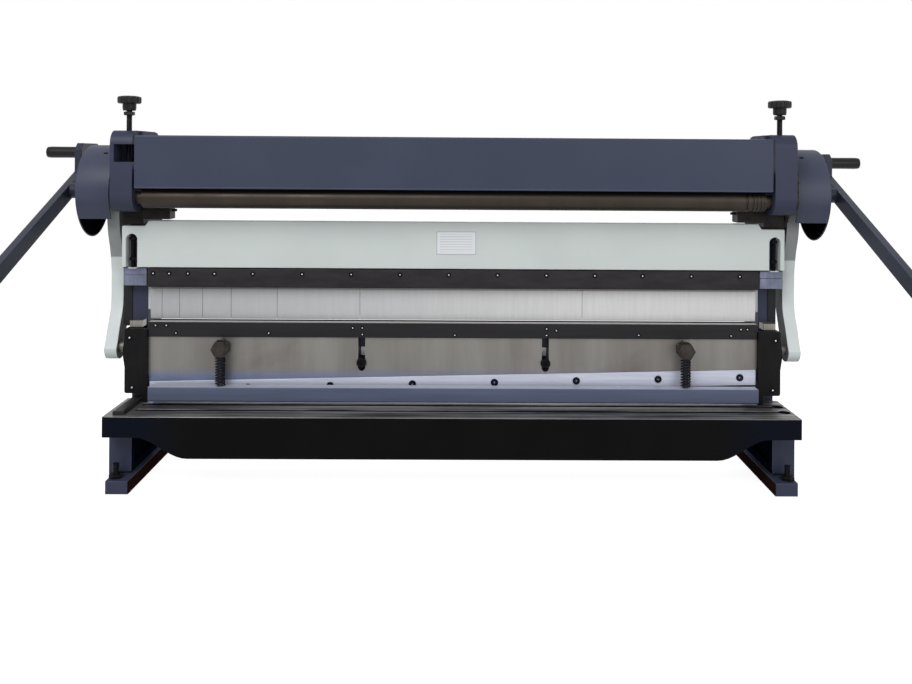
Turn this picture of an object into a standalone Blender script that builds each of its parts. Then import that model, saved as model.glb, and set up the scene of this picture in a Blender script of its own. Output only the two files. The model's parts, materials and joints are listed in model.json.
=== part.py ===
# Combination sheet metal machine: shear, press brake and slip roll in one stand.
# Metres, +Z up. X runs along the working width, the front faces -Y, the floor is Z = 0.
# Places are worked out from a datum: X = 0 is the middle, Y = 0 the front of the brake fingers.
import math

import bmesh
import bpy
import numpy as np
from mathutils import Vector

for old in list(bpy.data.objects):
    bpy.data.objects.remove(old, do_unlink=True)

# Fits and overruns
seat_gap = 0.0003
run_gap = 0.0003
overrun = 0.004
plain_gap = 0.001

# Working width and the two cast side frames
work_width = 1.320
finger_side_gap = 0.010
frame_web = 0.034
frame_pad = 0.012
foot_inset = 0.010
foot_width = 0.046
foot_height = 0.027
foot_front = 0.137
foot_rear = 0.175
stud_front = 0.115
stud_rear = 0.158
stud_inset = 0.014
stud_radius = 0.006
stud_high = 0.029
stud_nut_radius = 0.012
stud_nut_high = 0.008
leg_front = 0.088
leg_rear = 0.138
leg_flange = 0.020
pocket_depth = 0.015
waist_rear = 0.110
cast_radius = 0.012
table_top = 0.160
table_edge = 0.042
throat_top = 0.570
beam_seat_y = 0.0003
column_y = 0.0153
column_top = 0.4065
head_front = 0.096
head_top = 0.741
head_rear = 0.112
head_top_radius = 0.028
head_low_radius = 0.037
boss_width = 0.020
boss_front = 0.044
boss_low = 0.690
boss_chamfer = 0.006

# Table and the fixed blade
table_overhang = 0.006
table_front = 0.147
table_rear = 0.005
table_plate = 0.022
apron_drop = 0.0845
apron_wall = 0.020
apron_end_inset = 0.065
apron_slope = 0.107
table_rib = 0.014
table_rib_count = 5
tee_slot_y = (-0.048, -0.092)
tee_mouth = 0.012
tee_mouth_deep = 0.009
tee_foot = 0.020
tee_foot_deep = 0.007
tee_start_inset = 0.050
tee_end_inset = 0.017
tee_pocket_radius = 0.013
lower_blade_thick = 0.0097
lower_blade_high = 0.040
lower_blade_inset = 0.001
gauge_inset = 0.016
gauge_width = 0.024
gauge_front = 0.132
gauge_rear = 0.010
gauge_high = 0.0077
gauge_chamfer = 0.003

# Moving carriage, its blade and the vee die
carriage_side_gap = 0.014
carriage_tongue = 0.026
tongue_low = 0.215
carriage_front = 0.020
carriage_back = 0.015
carriage_top = 0.299
carriage_foot = 0.004
blade_front = 0.023
blade_thick = 0.0085
blade_inset = 0.002
blade_high = 0.033
blade_top_right = 0.2336
blade_rake = 0.031
shear_gap = 0.0003
slot_x = 0.1985
slot_width = 0.015
slot_low = 0.2265
guide_bolt_z = 0.245
guide_bolt_radius = 0.005
guide_head_radius = 0.0105
guide_head_thick = 0.0067
guide_head_dome = 0.002
die_overhang = 0.0005
die_front = 0.025
die_back = 0.015
die_top = 0.3315
vee_y = 0.003
vee_half = 0.008
vee_deep = 0.008
die_chamfer = 0.0015
stroke_up = 0.009
stroke_down = 0.043

# Guide plates that keep the carriage against the frames
guide_side_gap = 0.001
guide_overhang = 0.005
guide_bulge = 0.004
guide_front = 0.031
guide_back = 0.0203
guide_top = 0.317
guide_low = 0.179
guide_leg = 0.0105
guide_radius = 0.004
pad_inset = 0.014
pad_top_high = 0.017
pad_low_high = 0.033

# Upper beam with its clamp strip and the eight brake fingers
plate_front = 0.021
plate_end_gap = 0.0002
plate_top = 0.549
plate_low = 0.448
step_past = 0.006
step_drop = 0.012
step_radius = 0.008
end_slot_inset = 0.021
end_slot_width = 0.024
end_slot_top = 0.520
back_bar_deep = 0.034
back_bar_top = 0.530
back_bar_low = 0.352
finger_thick = 0.0147
finger_top = 0.446
finger_tip = 0.334
finger_front_taper = 0.016
finger_back_taper = 0.038
finger_tip_half = 0.0008
finger_gap = 0.0006
finger_width_shares = (25, 38, 50, 62, 100, 180, 485, 380)
strip_front = 0.023
strip_low = 0.4055
strip_top = 0.4465
strip_radius = 0.003
bracket_side_gap = 0.006
bracket_end_gap = 0.001
bracket_front = 0.009
bracket_low = 0.407
bracket_top = 0.445
bracket_seam = 0.0012
bracket_seam_z = 0.429
jack_y = 0.009
jack_radius = 0.0045
jack_nut_across = 0.014
jack_nut_low = 0.462
jack_nut_high = 0.007
jack_top_gap = 0.002
jack_head_low = 0.506
beam_rise = 0.0025

# Hold-down bar with its rods, springs and eye bolts
hold_inset = 0.006
hold_front = 0.062
hold_back = 0.034
hold_low = 0.170
hold_high = 0.030
hold_radius = 0.002
hold_seat_deep = 0.010
rod_x = 0.496
rod_y = 0.048
rod_radius = 0.006
rod_top = 0.290
eye_z = 0.279
eye_across = 0.032
eye_thick = 0.026
eye_shank = 0.010
spring_outer = 0.0215
spring_wire = 0.0032
spring_curls = 7
spring_points = 9

# Main shaft, eccentrics, links and levers
shaft_y = 0.040
shaft_z = 0.610
shaft_radius = 0.0175
shaft_step_inset = 0.011
shaft_end_radius = 0.011
eccentric_radius = 0.0395
eccentric_inset = 0.001
link_side_gap = 0.009
link_thick = 0.027
link_bore = 0.0548
link_ring = 0.0665
link_eye = 0.026
link_pin_radius = 0.012
link_pin_y = 0.003
link_pin_z = 0.2725
link_pin_proud = 0.003
# Rows of the outline: height share of the pin-to-crank span, front share and back share of it
link_edge_shares = (
    (0.030, -0.056, 0.072), (0.126, -0.014, 0.116), (0.247, 0.042, 0.166), (0.408, 0.048, 0.186),
    (0.473, 0.046, 0.192), (0.590, 0.022, 0.213), (0.698, -0.017, 0.245), (0.825, -0.037, 0.296))
lever_angle = math.radians(23.75)
lever_hub_long = 0.065
lever_thick = 0.016
lever_wide = 0.034
lever_long = 0.560
lever_end_share = 0.99
lever_hub_radius = 0.030
lever_guard_gap = 0.002
arm_front_y = 0.079
arm_rear_y = 0.205
arm_low_z = 0.655
arm_top_z = 0.709
arm_corner = 0.012
arm_chamfer = 0.014
grip_y = 0.182
grip_z = 0.688
grip_radius = 0.0133
grip_long = 0.098
grip_round = 0.004

# Slip rolls, their gears and bearings
roll_radius = 0.022
lower_roll_z = 0.600
roll_side_gap = 0.007
journal_radius = 0.015
journal_inset = 0.002
rear_roll_y = -0.012
rear_roll_z = 0.612
rear_roll_inset = 0.064
rear_journal = 0.012
rear_journal_inset = 0.003
# Places of the wire grooves as shares of half the roll length
groove_place_shares = (0.9272, 0.9469, 0.9591, 0.9712, 0.9834)
groove_radius_shares = (0.0036, 0.0030, 0.0026, 0.0022, 0.0018)
groove_floor_share = 1 / 3
gear_module = 0.002
roll_teeth = 23
drive_teeth = 80
gear_pressure = math.radians(20)
gear_backlash = 0.0005
gear_tip_share = 0.92
gear_root_share = 1.25
gear_side_gap = 0.0006
gear_thick = 0.007
block_half = 0.018
block_inset = 0.001
upper_lift = 0.004
release_top = 0.712
release_low = 0.675
release_back = 0.045
release_wall = 0.008
bracket_long = 0.0597
rear_bracket_front = 0.031
rear_bracket_back = 0.009
rear_pin_radius = 0.00275
rear_pin_long = 0.010
rear_pin_z = 0.571

# Front beam over the roll feed
front_beam_front = 0.097
front_beam_plate = 0.005
front_beam_low = 0.620
front_beam_top = 0.731
front_beam_flange = 0.004
front_beam_top_back = 0.046
front_beam_low_back = 0.088
front_beam_corner = 0.004

# Drum guards
guard_radius = 0.101
guard_wall = 0.003
guard_side_gap = 0.015
guard_deep = 0.050
guard_cut = 0.553
guard_hole = 0.0125

# Star knobs on the pressure screws
knob_inset = 0.018
knob_radius = 0.0242
knob_lobe = 0.0030
knob_lobes = 7
knob_cap_low = 0.798
knob_cap_high = 0.016
knob_cap_round = 0.003
knob_neck_radius = 0.014
knob_neck_low = 0.783
knob_nut_across = 0.020
knob_nut_low = 0.773
knob_nut_high = 0.008
knob_screw_radius = 0.006

# Rear tie beam behind the carriage
tie_front = 0.0156
tie_deep = 0.0294
tie_low = 0.200
tie_high = 0.096
tie_wall = 0.006

round_steps = 24
fine_steps = 48
corner_steps = 5

# Sizes that follow from the ones above
half_width = work_width / 2
frame_inner = half_width + finger_side_gap
frame_outer = frame_inner + frame_web
pad_face = frame_outer + frame_pad
foot_inner = frame_inner - foot_inset
foot_outer = foot_inner + foot_width
stud_x = foot_outer - stud_inset
table_low = table_top - table_edge
table_half = frame_outer + table_overhang
apron_end = table_half - apron_end_inset
apron_full = apron_end - apron_slope
tee_start = table_half - tee_start_inset
tee_end = table_half - tee_end_inset
gauge_outer = table_half - gauge_inset
carriage_half = frame_inner - carriage_side_gap
lower_blade_half = carriage_half - lower_blade_inset
blade_half = carriage_half - blade_inset
die_half = carriage_half + die_overhang
hold_half = carriage_half - hold_inset
guide_inner = carriage_half + guide_side_gap
guide_outer = frame_outer + guide_overhang
pad_inner = frame_inner + pad_inset
plate_half = pad_face - plate_end_gap
step_half = half_width + step_past
end_slot_x = pad_face - end_slot_inset
bracket_inner = half_width + bracket_side_gap
bracket_outer = pad_face - bracket_end_gap
shaft_step = pad_face - shaft_step_inset
link_inner = pad_face + link_side_gap
link_outer = link_inner + link_thick
gear_inner = pad_face + gear_side_gap
guard_inner = pad_face + guard_side_gap
guard_outer = guard_inner + guard_deep
lever_hub_inner = guard_outer + lever_guard_gap
lever_inner = lever_hub_inner + lever_hub_long
lever_outer = lever_inner + lever_thick
grip_end = lever_outer + grip_long
knob_x = frame_inner + knob_inset
roll_half = frame_inner - roll_side_gap
rear_roll_half = frame_inner - rear_roll_inset
front_beam_half = frame_inner - seat_gap
stroke = stroke_up + stroke_down
crank_throw = stroke / 2
crank_phase = math.pi * stroke_up / stroke
crank_y = shaft_y + crank_throw * math.sin(crank_phase)
crank_z = shaft_z + crank_throw * math.cos(crank_phase)
ring_y = crank_y
ring_z = shaft_z + crank_throw - stroke_up
roll_pitch = gear_module * roll_teeth / 2
drive_pitch = gear_module * drive_teeth / 2
roll_rise = lower_roll_z - shaft_z
roll_y = shaft_y - math.sqrt((roll_pitch + drive_pitch) ** 2 - roll_rise ** 2)
upper_roll_z = lower_roll_z + roll_pitch * 2
lever_half = lever_wide / 2
lever_tip_y = shaft_y - (lever_long - lever_half) * math.cos(lever_angle) - lever_half
datum_y = -(lever_tip_y + arm_rear_y) / 2
hold_top = hold_low + hold_high
spring_low = hold_top + seat_gap
spring_top = eye_z - eye_across / 2 - seat_gap
blade_back = blade_thick - blade_front
blade_seat_y = -blade_front - shear_gap - lower_blade_thick - seat_gap
rear_bracket_low = plate_top + beam_rise + plain_gap / 2
rear_bracket_top = rear_roll_z + roll_radius


def material(name, colour, roughness, metallic=0.0):
    finish = bpy.data.materials.new(name)
    finish.use_nodes = True
    shader = finish.node_tree.nodes["Principled BSDF"]
    shader.inputs["Base Color"].default_value = (*colour, 1.0)
    shader.inputs["Roughness"].default_value = roughness
    shader.inputs["Metallic"].default_value = metallic
    finish.diffuse_color = (*colour, 1.0)
    return finish


slate = material("slate_paint", (0.055, 0.065, 0.105), 0.35)
cream = material("grey_green_paint", (0.58, 0.64, 0.63), 0.4)
black = material("black_oxide", (0.015, 0.014, 0.015), 0.4, 0.6)
cast_black = material("black_casting", (0.012, 0.012, 0.013), 0.35)
steel = material("ground_steel", (0.42, 0.40, 0.38), 0.35, 0.9)
bright = material("bright_blade_steel", (0.60, 0.62, 0.68), 0.3, 0.9)
roll_steel = material("dark_roll_steel", (0.10, 0.085, 0.075), 0.3, 0.9)
plastic = material("black_plastic", (0.012, 0.012, 0.012), 0.45)
finger_steel = material("pale_finger_steel", (0.50, 0.50, 0.50), 0.45, 0.8)
bar_blue = material("blue_grey_steel", (0.12, 0.14, 0.20), 0.4, 0.3)

machine = bpy.data.objects.new("machine", None)
machine.location = (0, datum_y, 0)
bpy.context.collection.objects.link(machine)
bodies = {}


def body(name, pivot=(0, 0, 0)):
    # An empty on the axis of the joint that carries the pieces under it
    holder = bpy.data.objects.new(name, None)
    holder.parent = machine
    holder.location = pivot
    bpy.context.collection.objects.link(holder)
    bodies[name] = holder
    return holder


def place(mesh, name, finish, holder, smooth=True):
    mesh.materials.clear()
    mesh.materials.append(finish)
    piece = bpy.data.objects.new(name, mesh)
    piece.parent = holder
    piece.location = -holder.location
    bpy.context.collection.objects.link(piece)
    if smooth:
        mesh.shade_smooth()
        mesh.set_sharp_from_angle(angle=math.radians(30))
    return piece


def finish_mesh(name, work):
    bmesh.ops.recalc_face_normals(work, faces=work.faces[:])
    mesh = bpy.data.meshes.new(name)
    work.to_mesh(mesh)
    work.free()
    return mesh


def spread(axis, u, v, w):
    # A point from two outline values and one depth along the named axis
    if axis == "X":
        return Vector((w, u, v))
    if axis == "Y":
        return Vector((u, w, v))
    return Vector((u, v, w))


def prism_mesh(name, outline, axis, low, high):
    work = bmesh.new()
    corners = [work.verts.new(spread(axis, u, v, low)) for u, v in outline]
    base = work.faces.new(corners)
    raised = bmesh.ops.extrude_face_region(work, geom=[base])
    lifted = [item for item in raised["geom"] if isinstance(item, bmesh.types.BMVert)]
    bmesh.ops.translate(work, verts=lifted, vec=spread(axis, 0, 0, high - low))
    return finish_mesh(name, work)


def box_outline(u_low, u_high, v_low, v_high):
    return [(u_low, v_low), (u_high, v_low), (u_high, v_high), (u_low, v_high)]


def rounded(corners, steps=corner_steps):
    # Each corner is (u, v, radius); a radius of zero keeps it sharp
    outline = []
    count = len(corners)
    for index, (u, v, radius) in enumerate(corners):
        here = Vector((u, v))
        if radius == 0:
            outline.append((u, v))
            continue
        before = Vector(corners[index - 1][:2]) - here
        after = Vector(corners[(index + 1) % count][:2]) - here
        half = before.angle(after) / 2
        before.normalize()
        after.normalize()
        reach = radius / math.tan(half)
        centre = here + (before + after).normalized() * radius / math.sin(half)
        start = here + before * reach - centre
        sweep = start.angle_signed(here + after * reach - centre)
        for step in range(steps + 1):
            turn = -sweep * step / steps
            x = start.x * math.cos(turn) - start.y * math.sin(turn)
            y = start.x * math.sin(turn) + start.y * math.cos(turn)
            outline.append((centre.x + x, centre.y + y))
    return outline


def circle(u, v, radius, steps=round_steps):
    turns = np.arange(steps) * 2 * np.pi / steps
    return [(u + radius * math.cos(t), v + radius * math.sin(t)) for t in turns]


def turned_mesh(name, profile, axis, u, v, steps=round_steps):
    # The profile holds (radius, place along the axis), first and last on the axis or a closed ring
    work = bmesh.new()
    solid = profile[0][0] == 0
    rings = []
    for radius, along in profile:
        if radius == 0:
            rings.append([work.verts.new(spread(axis, u, v, along))])
        else:
            rings.append([work.verts.new(spread(axis, a, b, along)) for a, b in circle(u, v, radius, steps)])
    pairs = list(zip(rings, rings[1:]))
    if not solid:
        pairs.append((rings[-1], rings[0]))
    for first, second in pairs:
        for step in range(steps):
            following = (step + 1) % steps
            loop = [first[step % len(first)], first[following % len(first)],
                    second[following % len(second)], second[step % len(second)]]
            work.faces.new(list(dict.fromkeys(loop)))
    return finish_mesh(name, work)


def helper(mesh, name):
    # A cutter or a joined part that is not a piece by itself
    tool = bpy.data.objects.new(name, mesh)
    tool.parent = machine
    tool.hide_render = True
    tool.display_type = "WIRE"
    bpy.context.collection.objects.link(tool)
    return tool


def combine(piece, mesh, operation):
    tool = helper(mesh, piece.name + "_" + operation.lower() + "_" + str(len(piece.modifiers)))
    change = piece.modifiers.new(operation.lower(), "BOOLEAN")
    change.operation = operation
    change.solver = "EXACT"
    change.object = tool


def cut(piece, mesh):
    combine(piece, mesh, "DIFFERENCE")


def join(piece, mesh):
    combine(piece, mesh, "UNION")


def across(side, inner, outer):
    # The X range between two distances from the middle, on one side
    return tuple(sorted((side * inner, side * outer)))


def sides():
    return (("left", -1), ("right", 1))


# Side frames: a cast C with thicker head and leg, a pocketed leg, a foot rail and two studs
def frame_outline():
    return rounded([
        (-leg_front, foot_height, cast_radius / 2), (-leg_front, table_low - seat_gap, 0),
        (column_y, table_low - seat_gap, 0), (column_y, column_top, 0), (beam_seat_y, column_top, 0),
        (beam_seat_y, throat_top, cast_radius), (-head_front, throat_top, head_low_radius),
        (-head_front, head_top, head_top_radius), (head_rear, head_top, head_top_radius * 2),
        (waist_rear, table_top, cast_radius), (leg_rear, foot_height, cast_radius / 2)])


def head_outline():
    return rounded([
        (-head_front, throat_top, head_low_radius), (-head_front, head_top, head_top_radius),
        (head_rear, head_top, head_top_radius * 2), (head_rear, throat_top, head_low_radius)])


def leg_outline():
    low = foot_height - overrun
    return rounded([(-leg_front, low, 0), (-leg_front, table_low - seat_gap, 0),
                    (waist_rear, table_low - seat_gap, cast_radius), (leg_rear - overrun, low, 0)])


def pocket_outline():
    # A triangle between the front flange, the foot and a rib that runs from low front to high rear
    low = foot_height + cast_radius
    high = table_low - leg_flange / 2
    front = -leg_front + leg_flange
    rear = waist_rear - leg_flange
    return rounded([(front, low, cast_radius / 2), (rear, low, cast_radius / 2),
                    (front, high, cast_radius / 2)])


def stud_profile():
    top = foot_height + stud_high
    nut_top = foot_height + stud_nut_high
    return [(0, foot_height - overrun), (stud_nut_radius, foot_height - overrun), (stud_nut_radius, nut_top),
            (stud_radius, nut_top), (stud_radius, top - plain_gap), (stud_radius - plain_gap, top), (0, top)]


def side_frame(word, side, holder):
    name = word + "_side_frame"
    low, high = across(side, frame_inner, frame_outer)
    piece = place(prism_mesh(name, frame_outline(), "X", low, high), name, slate, holder)
    low, high = across(side, frame_outer - overrun, pad_face)
    join(piece, prism_mesh("head_pad", head_outline(), "X", low, high))
    join(piece, prism_mesh("leg_pad", leg_outline(), "X", low, high))
    low, high = across(side, foot_inner, foot_outer)
    foot = rounded([(-foot_front, 0, 0), (foot_rear, 0, 0), (foot_rear, foot_height, cast_radius / 4),
                    (-foot_front, foot_height, cast_radius / 4)])
    join(piece, prism_mesh("foot", foot, "X", low, high))
    for y in (-stud_front, stud_rear):
        join(piece, turned_mesh("stud", stud_profile(), "Z", side * stud_x, y, round_steps // 2))
    low, high = across(side, frame_inner - boss_width, frame_inner + overrun)
    boss = rounded([(-boss_front, boss_low, 0), (0, boss_low, 0), (0, head_top - seat_gap, boss_chamfer),
                    (-boss_front, head_top - seat_gap, boss_chamfer)], 1)
    join(piece, prism_mesh("boss", boss, "X", low, high))
    low, high = across(side, frame_inner - overrun, frame_inner + pocket_depth)
    cut(piece, prism_mesh("pocket", pocket_outline(), "X", low, high))
    low, high = across(side, frame_inner - overrun, pad_face + overrun)
    cut(piece, prism_mesh("shaft_bore", circle(shaft_y, shaft_z, shaft_radius + run_gap), "X", low, high))
    roll_bore = circle(roll_y, lower_roll_z, journal_radius + run_gap)
    cut(piece, prism_mesh("roll_bore", roll_bore, "X", low, high))
    slot_half = block_half + run_gap
    slot_top = upper_roll_z + block_half + upper_lift + run_gap
    slot = box_outline(roll_y - slot_half, roll_y + slot_half, upper_roll_z - slot_half, slot_top)
    cut(piece, prism_mesh("block_slot", slot, "X", low, high))
    screw = circle(side * knob_x, roll_y, knob_screw_radius + run_gap, round_steps // 2)
    cut(piece, prism_mesh("screw_hole", screw, "Z", slot_top - overrun, head_top + overrun))
    if side < 0:
        low, high = across(side, frame_inner - overrun, pad_face - release_wall)
        window = box_outline(-head_front - overrun, -release_back, release_low, release_top)
        cut(piece, prism_mesh("release_window", window, "X", low, high))
    return piece


# Table: a ribbed casting with a deep apron, two tee slots and a seat for the fixed blade
def apron_outline():
    half = []
    steps = corner_steps * 2
    for step in range(steps + 1):
        share = step / steps
        ease = (1 - math.cos(math.pi * share)) / 2
        x = apron_end - (apron_end - apron_full) * share
        half.append((x, table_low - (apron_drop - table_edge) * ease))
    left = [(-table_half, table_top), (-table_half, table_low)] + [(-x, z) for x, z in half]
    return left + list(reversed(half)) + [(table_half, table_low), (table_half, table_top)]


def table_piece(holder):
    piece = place(prism_mesh("work_table", apron_outline(), "Y", -table_front, blade_seat_y),
                  "work_table", cast_black, holder)
    for side in (-1, 1):
        low, high = across(side, carriage_half + plain_gap / 2, table_half)
        end = box_outline(blade_seat_y - overrun, table_rear, table_low, table_top)
        join(piece, prism_mesh("table_end", end, "X", low, high))
    reach = apron_full
    bay = (reach * 2 - table_rib * table_rib_count) / (table_rib_count + 1)
    low_z = table_top - apron_drop - overrun
    for index in range(table_rib_count + 1):
        left = -reach + index * (bay + table_rib)
        hollow = box_outline(left, left + bay, low_z, table_top - table_plate)
        cut(piece, prism_mesh("bay", hollow, "Y", -table_front + apron_wall, blade_seat_y - apron_wall))
    foot_low = table_top - tee_mouth_deep - tee_foot_deep
    for line in tee_slot_y:
        mouth = box_outline(line - tee_mouth / 2, line + tee_mouth / 2, foot_low, table_top + overrun)
        cut(piece, prism_mesh("tee_mouth", mouth, "X", -tee_start, tee_end))
        foot = box_outline(line - tee_foot / 2, line + tee_foot / 2, foot_low, foot_low + tee_foot_deep)
        cut(piece, prism_mesh("tee_foot", foot, "X", -tee_start, tee_end))
        pocket = circle(tee_end, line, tee_pocket_radius, round_steps // 2)
        cut(piece, prism_mesh("tee_pocket", pocket, "Z", foot_low, table_top + overrun))
    return piece


# Fixed blade on the rear edge of the table
def lower_blade_piece(holder):
    front = blade_seat_y + seat_gap
    outline = box_outline(-lower_blade_half, lower_blade_half, table_top - lower_blade_high, table_top)
    mesh = prism_mesh("lower_shear_blade", outline, "Y", front, front + lower_blade_thick)
    return place(mesh, "lower_shear_blade", bright, holder)


# Side gauge on the left of the table
def gauge_piece(holder):
    low_z = table_top + seat_gap
    outline = rounded([(-gauge_outer, low_z, 0), (-gauge_outer + gauge_width, low_z, 0),
                       (-gauge_outer + gauge_width, low_z + gauge_high, gauge_chamfer),
                       (-gauge_outer, low_z + gauge_high, gauge_chamfer)], 2)
    return place(prism_mesh("side_gauge", outline, "Y", -gauge_front, -gauge_rear), "side_gauge", black,
                 holder)


# Rear tie: a channel between the frames that the guide bolts screw into
def tie_piece(holder):
    reach = frame_inner - seat_gap
    outline = box_outline(tie_front, tie_front + tie_deep, tie_low, tie_low + tie_high)
    piece = place(prism_mesh("rear_tie_beam", outline, "X", -reach, reach), "rear_tie_beam", slate, holder)
    hollow = box_outline(tie_front + tie_wall * 2, tie_front + tie_deep + overrun,
                         tie_low + tie_wall, tie_low + tie_high - tie_wall)
    cut(piece, prism_mesh("tie_hollow", hollow, "X", -reach - overrun, reach + overrun))
    for side in (-1, 1):
        bore = circle(side * slot_x, guide_bolt_z, guide_bolt_radius + seat_gap, round_steps // 2)
        cut(piece, prism_mesh("tie_bore", bore, "Y", tie_front - overrun, tie_front + tie_wall * 2 + overrun))
    return piece


# Guide bolt: low round head before the carriage, shank through the slot into the tie
def guide_bolt(word, side, holder):
    back = -carriage_front - seat_gap
    front = back - guide_head_thick
    end = tie_front + tie_wall * 2
    profile = [(0, front), (guide_head_radius - guide_head_dome, front),
               (guide_head_radius, front + guide_head_dome),
               (guide_head_radius, back), (guide_bolt_radius, back), (guide_bolt_radius, end), (0, end)]
    name = word + "_guide_bolt"
    return place(turned_mesh(name, profile, "Y", side * slot_x, guide_bolt_z, round_steps // 2), name,
                 black, holder)


# Guide plate: keeper with two pads against the frame, a bulge by the pin and a leg on the table
def guide_outline():
    bulge_z = link_pin_z - link_pin_radius
    edge = guide_outer - guide_bulge
    return rounded([
        (guide_inner, guide_top, guide_radius), (guide_inner, table_top + seat_gap, 0),
        (guide_inner + guide_leg, table_top + seat_gap, 0),
        (guide_inner + guide_leg, guide_low, guide_radius / 2),
        (edge, guide_low, guide_radius), (edge, bulge_z - link_eye, guide_radius),
        (guide_outer, bulge_z, guide_radius), (guide_outer, link_pin_z, guide_radius),
        (edge, link_pin_z + link_eye, guide_radius), (edge, guide_top, guide_radius)], 2)


def guide_piece(word, side, holder):
    name = word + "_guide_plate"
    outline = [(side * x, z) for x, z in guide_outline()]
    piece = place(prism_mesh(name, outline, "Y", -guide_front, -guide_back), name, black, holder)
    low, high = across(side, pad_inner, frame_outer)
    back = column_y - seat_gap
    for base, tall in ((guide_top - pad_top_high, pad_top_high), (guide_low, pad_low_high)):
        pad = box_outline(-guide_back - overrun, back, base, base + tall)
        join(piece, prism_mesh("pad", pad, "X", low, high))
    return piece


# Carriage: the moving plate, slanted along its foot, with a rebate for the blade and two link pins
def blade_line(x):
    return blade_top_right - blade_rake * (blade_half - x) / (blade_half * 2)


def carriage_piece(holder):
    lift = carriage_foot - blade_high
    outline = [(-carriage_half, blade_line(-carriage_half) + lift),
               (carriage_half, blade_line(carriage_half) + lift),
               (carriage_half, carriage_top), (-carriage_half, carriage_top)]
    mesh = prism_mesh("carriage", outline, "Y", -carriage_front, carriage_back)
    piece = place(mesh, "carriage", steel, holder)
    tongue_half = carriage_half + carriage_tongue
    for side in (-1, 1):
        low, high = across(side, carriage_half - overrun, tongue_half)
        tongue = box_outline(-carriage_front, carriage_back, tongue_low, carriage_top)
        join(piece, prism_mesh("tongue", tongue, "X", low, high))
        start = side * (tongue_half - overrun)
        tip = link_outer + link_pin_proud
        profile = [(0, start), (link_pin_radius, start), (link_pin_radius, side * (tip - plain_gap)),
                   (link_pin_radius - plain_gap, side * tip), (0, side * tip)]
        join(piece, turned_mesh("link_pin", profile, "X", link_pin_y, link_pin_z))
    ledge = carriage_half + overrun
    rebate = [(-ledge, blade_line(-ledge) + seat_gap), (-ledge, table_top), (ledge, table_top),
              (ledge, blade_line(ledge) + seat_gap)]
    cut(piece, prism_mesh("rebate", rebate, "Y", -carriage_front - overrun, blade_back + seat_gap))
    half = slot_width / 2
    for side in (-1, 1):
        x = side * slot_x
        arch = [(x + half * math.cos(t), slot_low + half - half * math.sin(t))
                for t in np.linspace(math.pi, 0, corner_steps * 2 + 1)]
        slot = [(x - half, carriage_top + overrun)] + arch + [(x + half, carriage_top + overrun)]
        cut(piece, prism_mesh("slot", slot, "Y", -carriage_front - overrun, carriage_back + overrun))
    return piece


# Raked blade in the rebate of the carriage
def upper_blade_piece(holder):
    outline = [(-blade_half, blade_line(-blade_half) - blade_high),
               (blade_half, blade_line(blade_half) - blade_high),
               (blade_half, blade_line(blade_half)), (-blade_half, blade_line(-blade_half))]
    mesh = prism_mesh("upper_shear_blade", outline, "Y", -blade_front, blade_back)
    return place(mesh, "upper_shear_blade", bright, holder)


# Vee die on top of the carriage
def die_piece(holder):
    low_z = carriage_top + seat_gap
    outline = [(-die_front, low_z), (die_back, low_z), (die_back, die_top - die_chamfer),
               (die_back - die_chamfer, die_top), (vee_y + vee_half, die_top), (vee_y, die_top - vee_deep),
               (vee_y - vee_half, die_top), (-die_front + die_chamfer, die_top),
               (-die_front, die_top - die_chamfer)]
    return place(prism_mesh("v_die_bar", outline, "X", -die_half, die_half), "v_die_bar", black, holder)


# Connecting link: a wide head with the crank bore, a bowed waist and an eye for the carriage pin
def smooth_run(points, steps=corner_steps - 1):
    # A cubic through each point whose slope there follows its two neighbours
    knots = np.array([points[0]] + list(points) + [points[-1]], dtype=float)
    run = []
    for index in range(1, len(knots) - 2):
        before, here, after, beyond = knots[index - 1:index + 3]
        for t in np.arange(steps) / steps:
            bend = (before * 2 - here * 5 + after * 4 - beyond) * t * t
            twist = (here * 3 - before - after * 3 + beyond) * t * t * t
            run.append(tuple((here * 2 + (after - before) * t + bend + twist) / 2))
    run.append(tuple(knots[-1]))
    return run


def link_outline():
    span = ring_z - link_pin_z
    quarter = fine_steps // 4
    over = circle(ring_y, ring_z, link_ring, fine_steps)[:quarter * 2 + 1]
    under = circle(link_pin_y, link_pin_z, link_eye, fine_steps)[quarter * 2:]
    under = under + [(link_pin_y + link_eye, link_pin_z)]
    front = [(link_pin_y + front_share * span, link_pin_z + high * span)
             for high, front_share, back_share in reversed(link_edge_shares)]
    back = [(link_pin_y + back_share * span, link_pin_z + high * span)
            for high, front_share, back_share in link_edge_shares]
    front_run = smooth_run([over[-1]] + front + [under[0]])
    back_run = smooth_run([under[-1]] + back + [over[0]])
    return over + front_run[1:-1] + under + back_run[1:-1]


def link_piece(word, side, holder):
    low, high = across(side, link_inner, link_outer)
    name = word + "_link"
    piece = place(prism_mesh(name, link_outline(), "X", low, high), name, cream, holder)
    low, high = across(side, link_inner - overrun, link_outer + overrun)
    cut(piece, prism_mesh("crank_bore", circle(ring_y, ring_z, link_bore, fine_steps), "X", low, high))
    eye_bore = circle(link_pin_y, link_pin_z, link_pin_radius + run_gap)
    cut(piece, prism_mesh("eye_bore", eye_bore, "X", low, high))
    return piece


# Eye bolt: a hexagon facing the front with a cross hole that the rod slides in
def hexagon(u, v, flats):
    return circle(u, v, flats / 2 / math.cos(math.pi / 6), 6)


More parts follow.
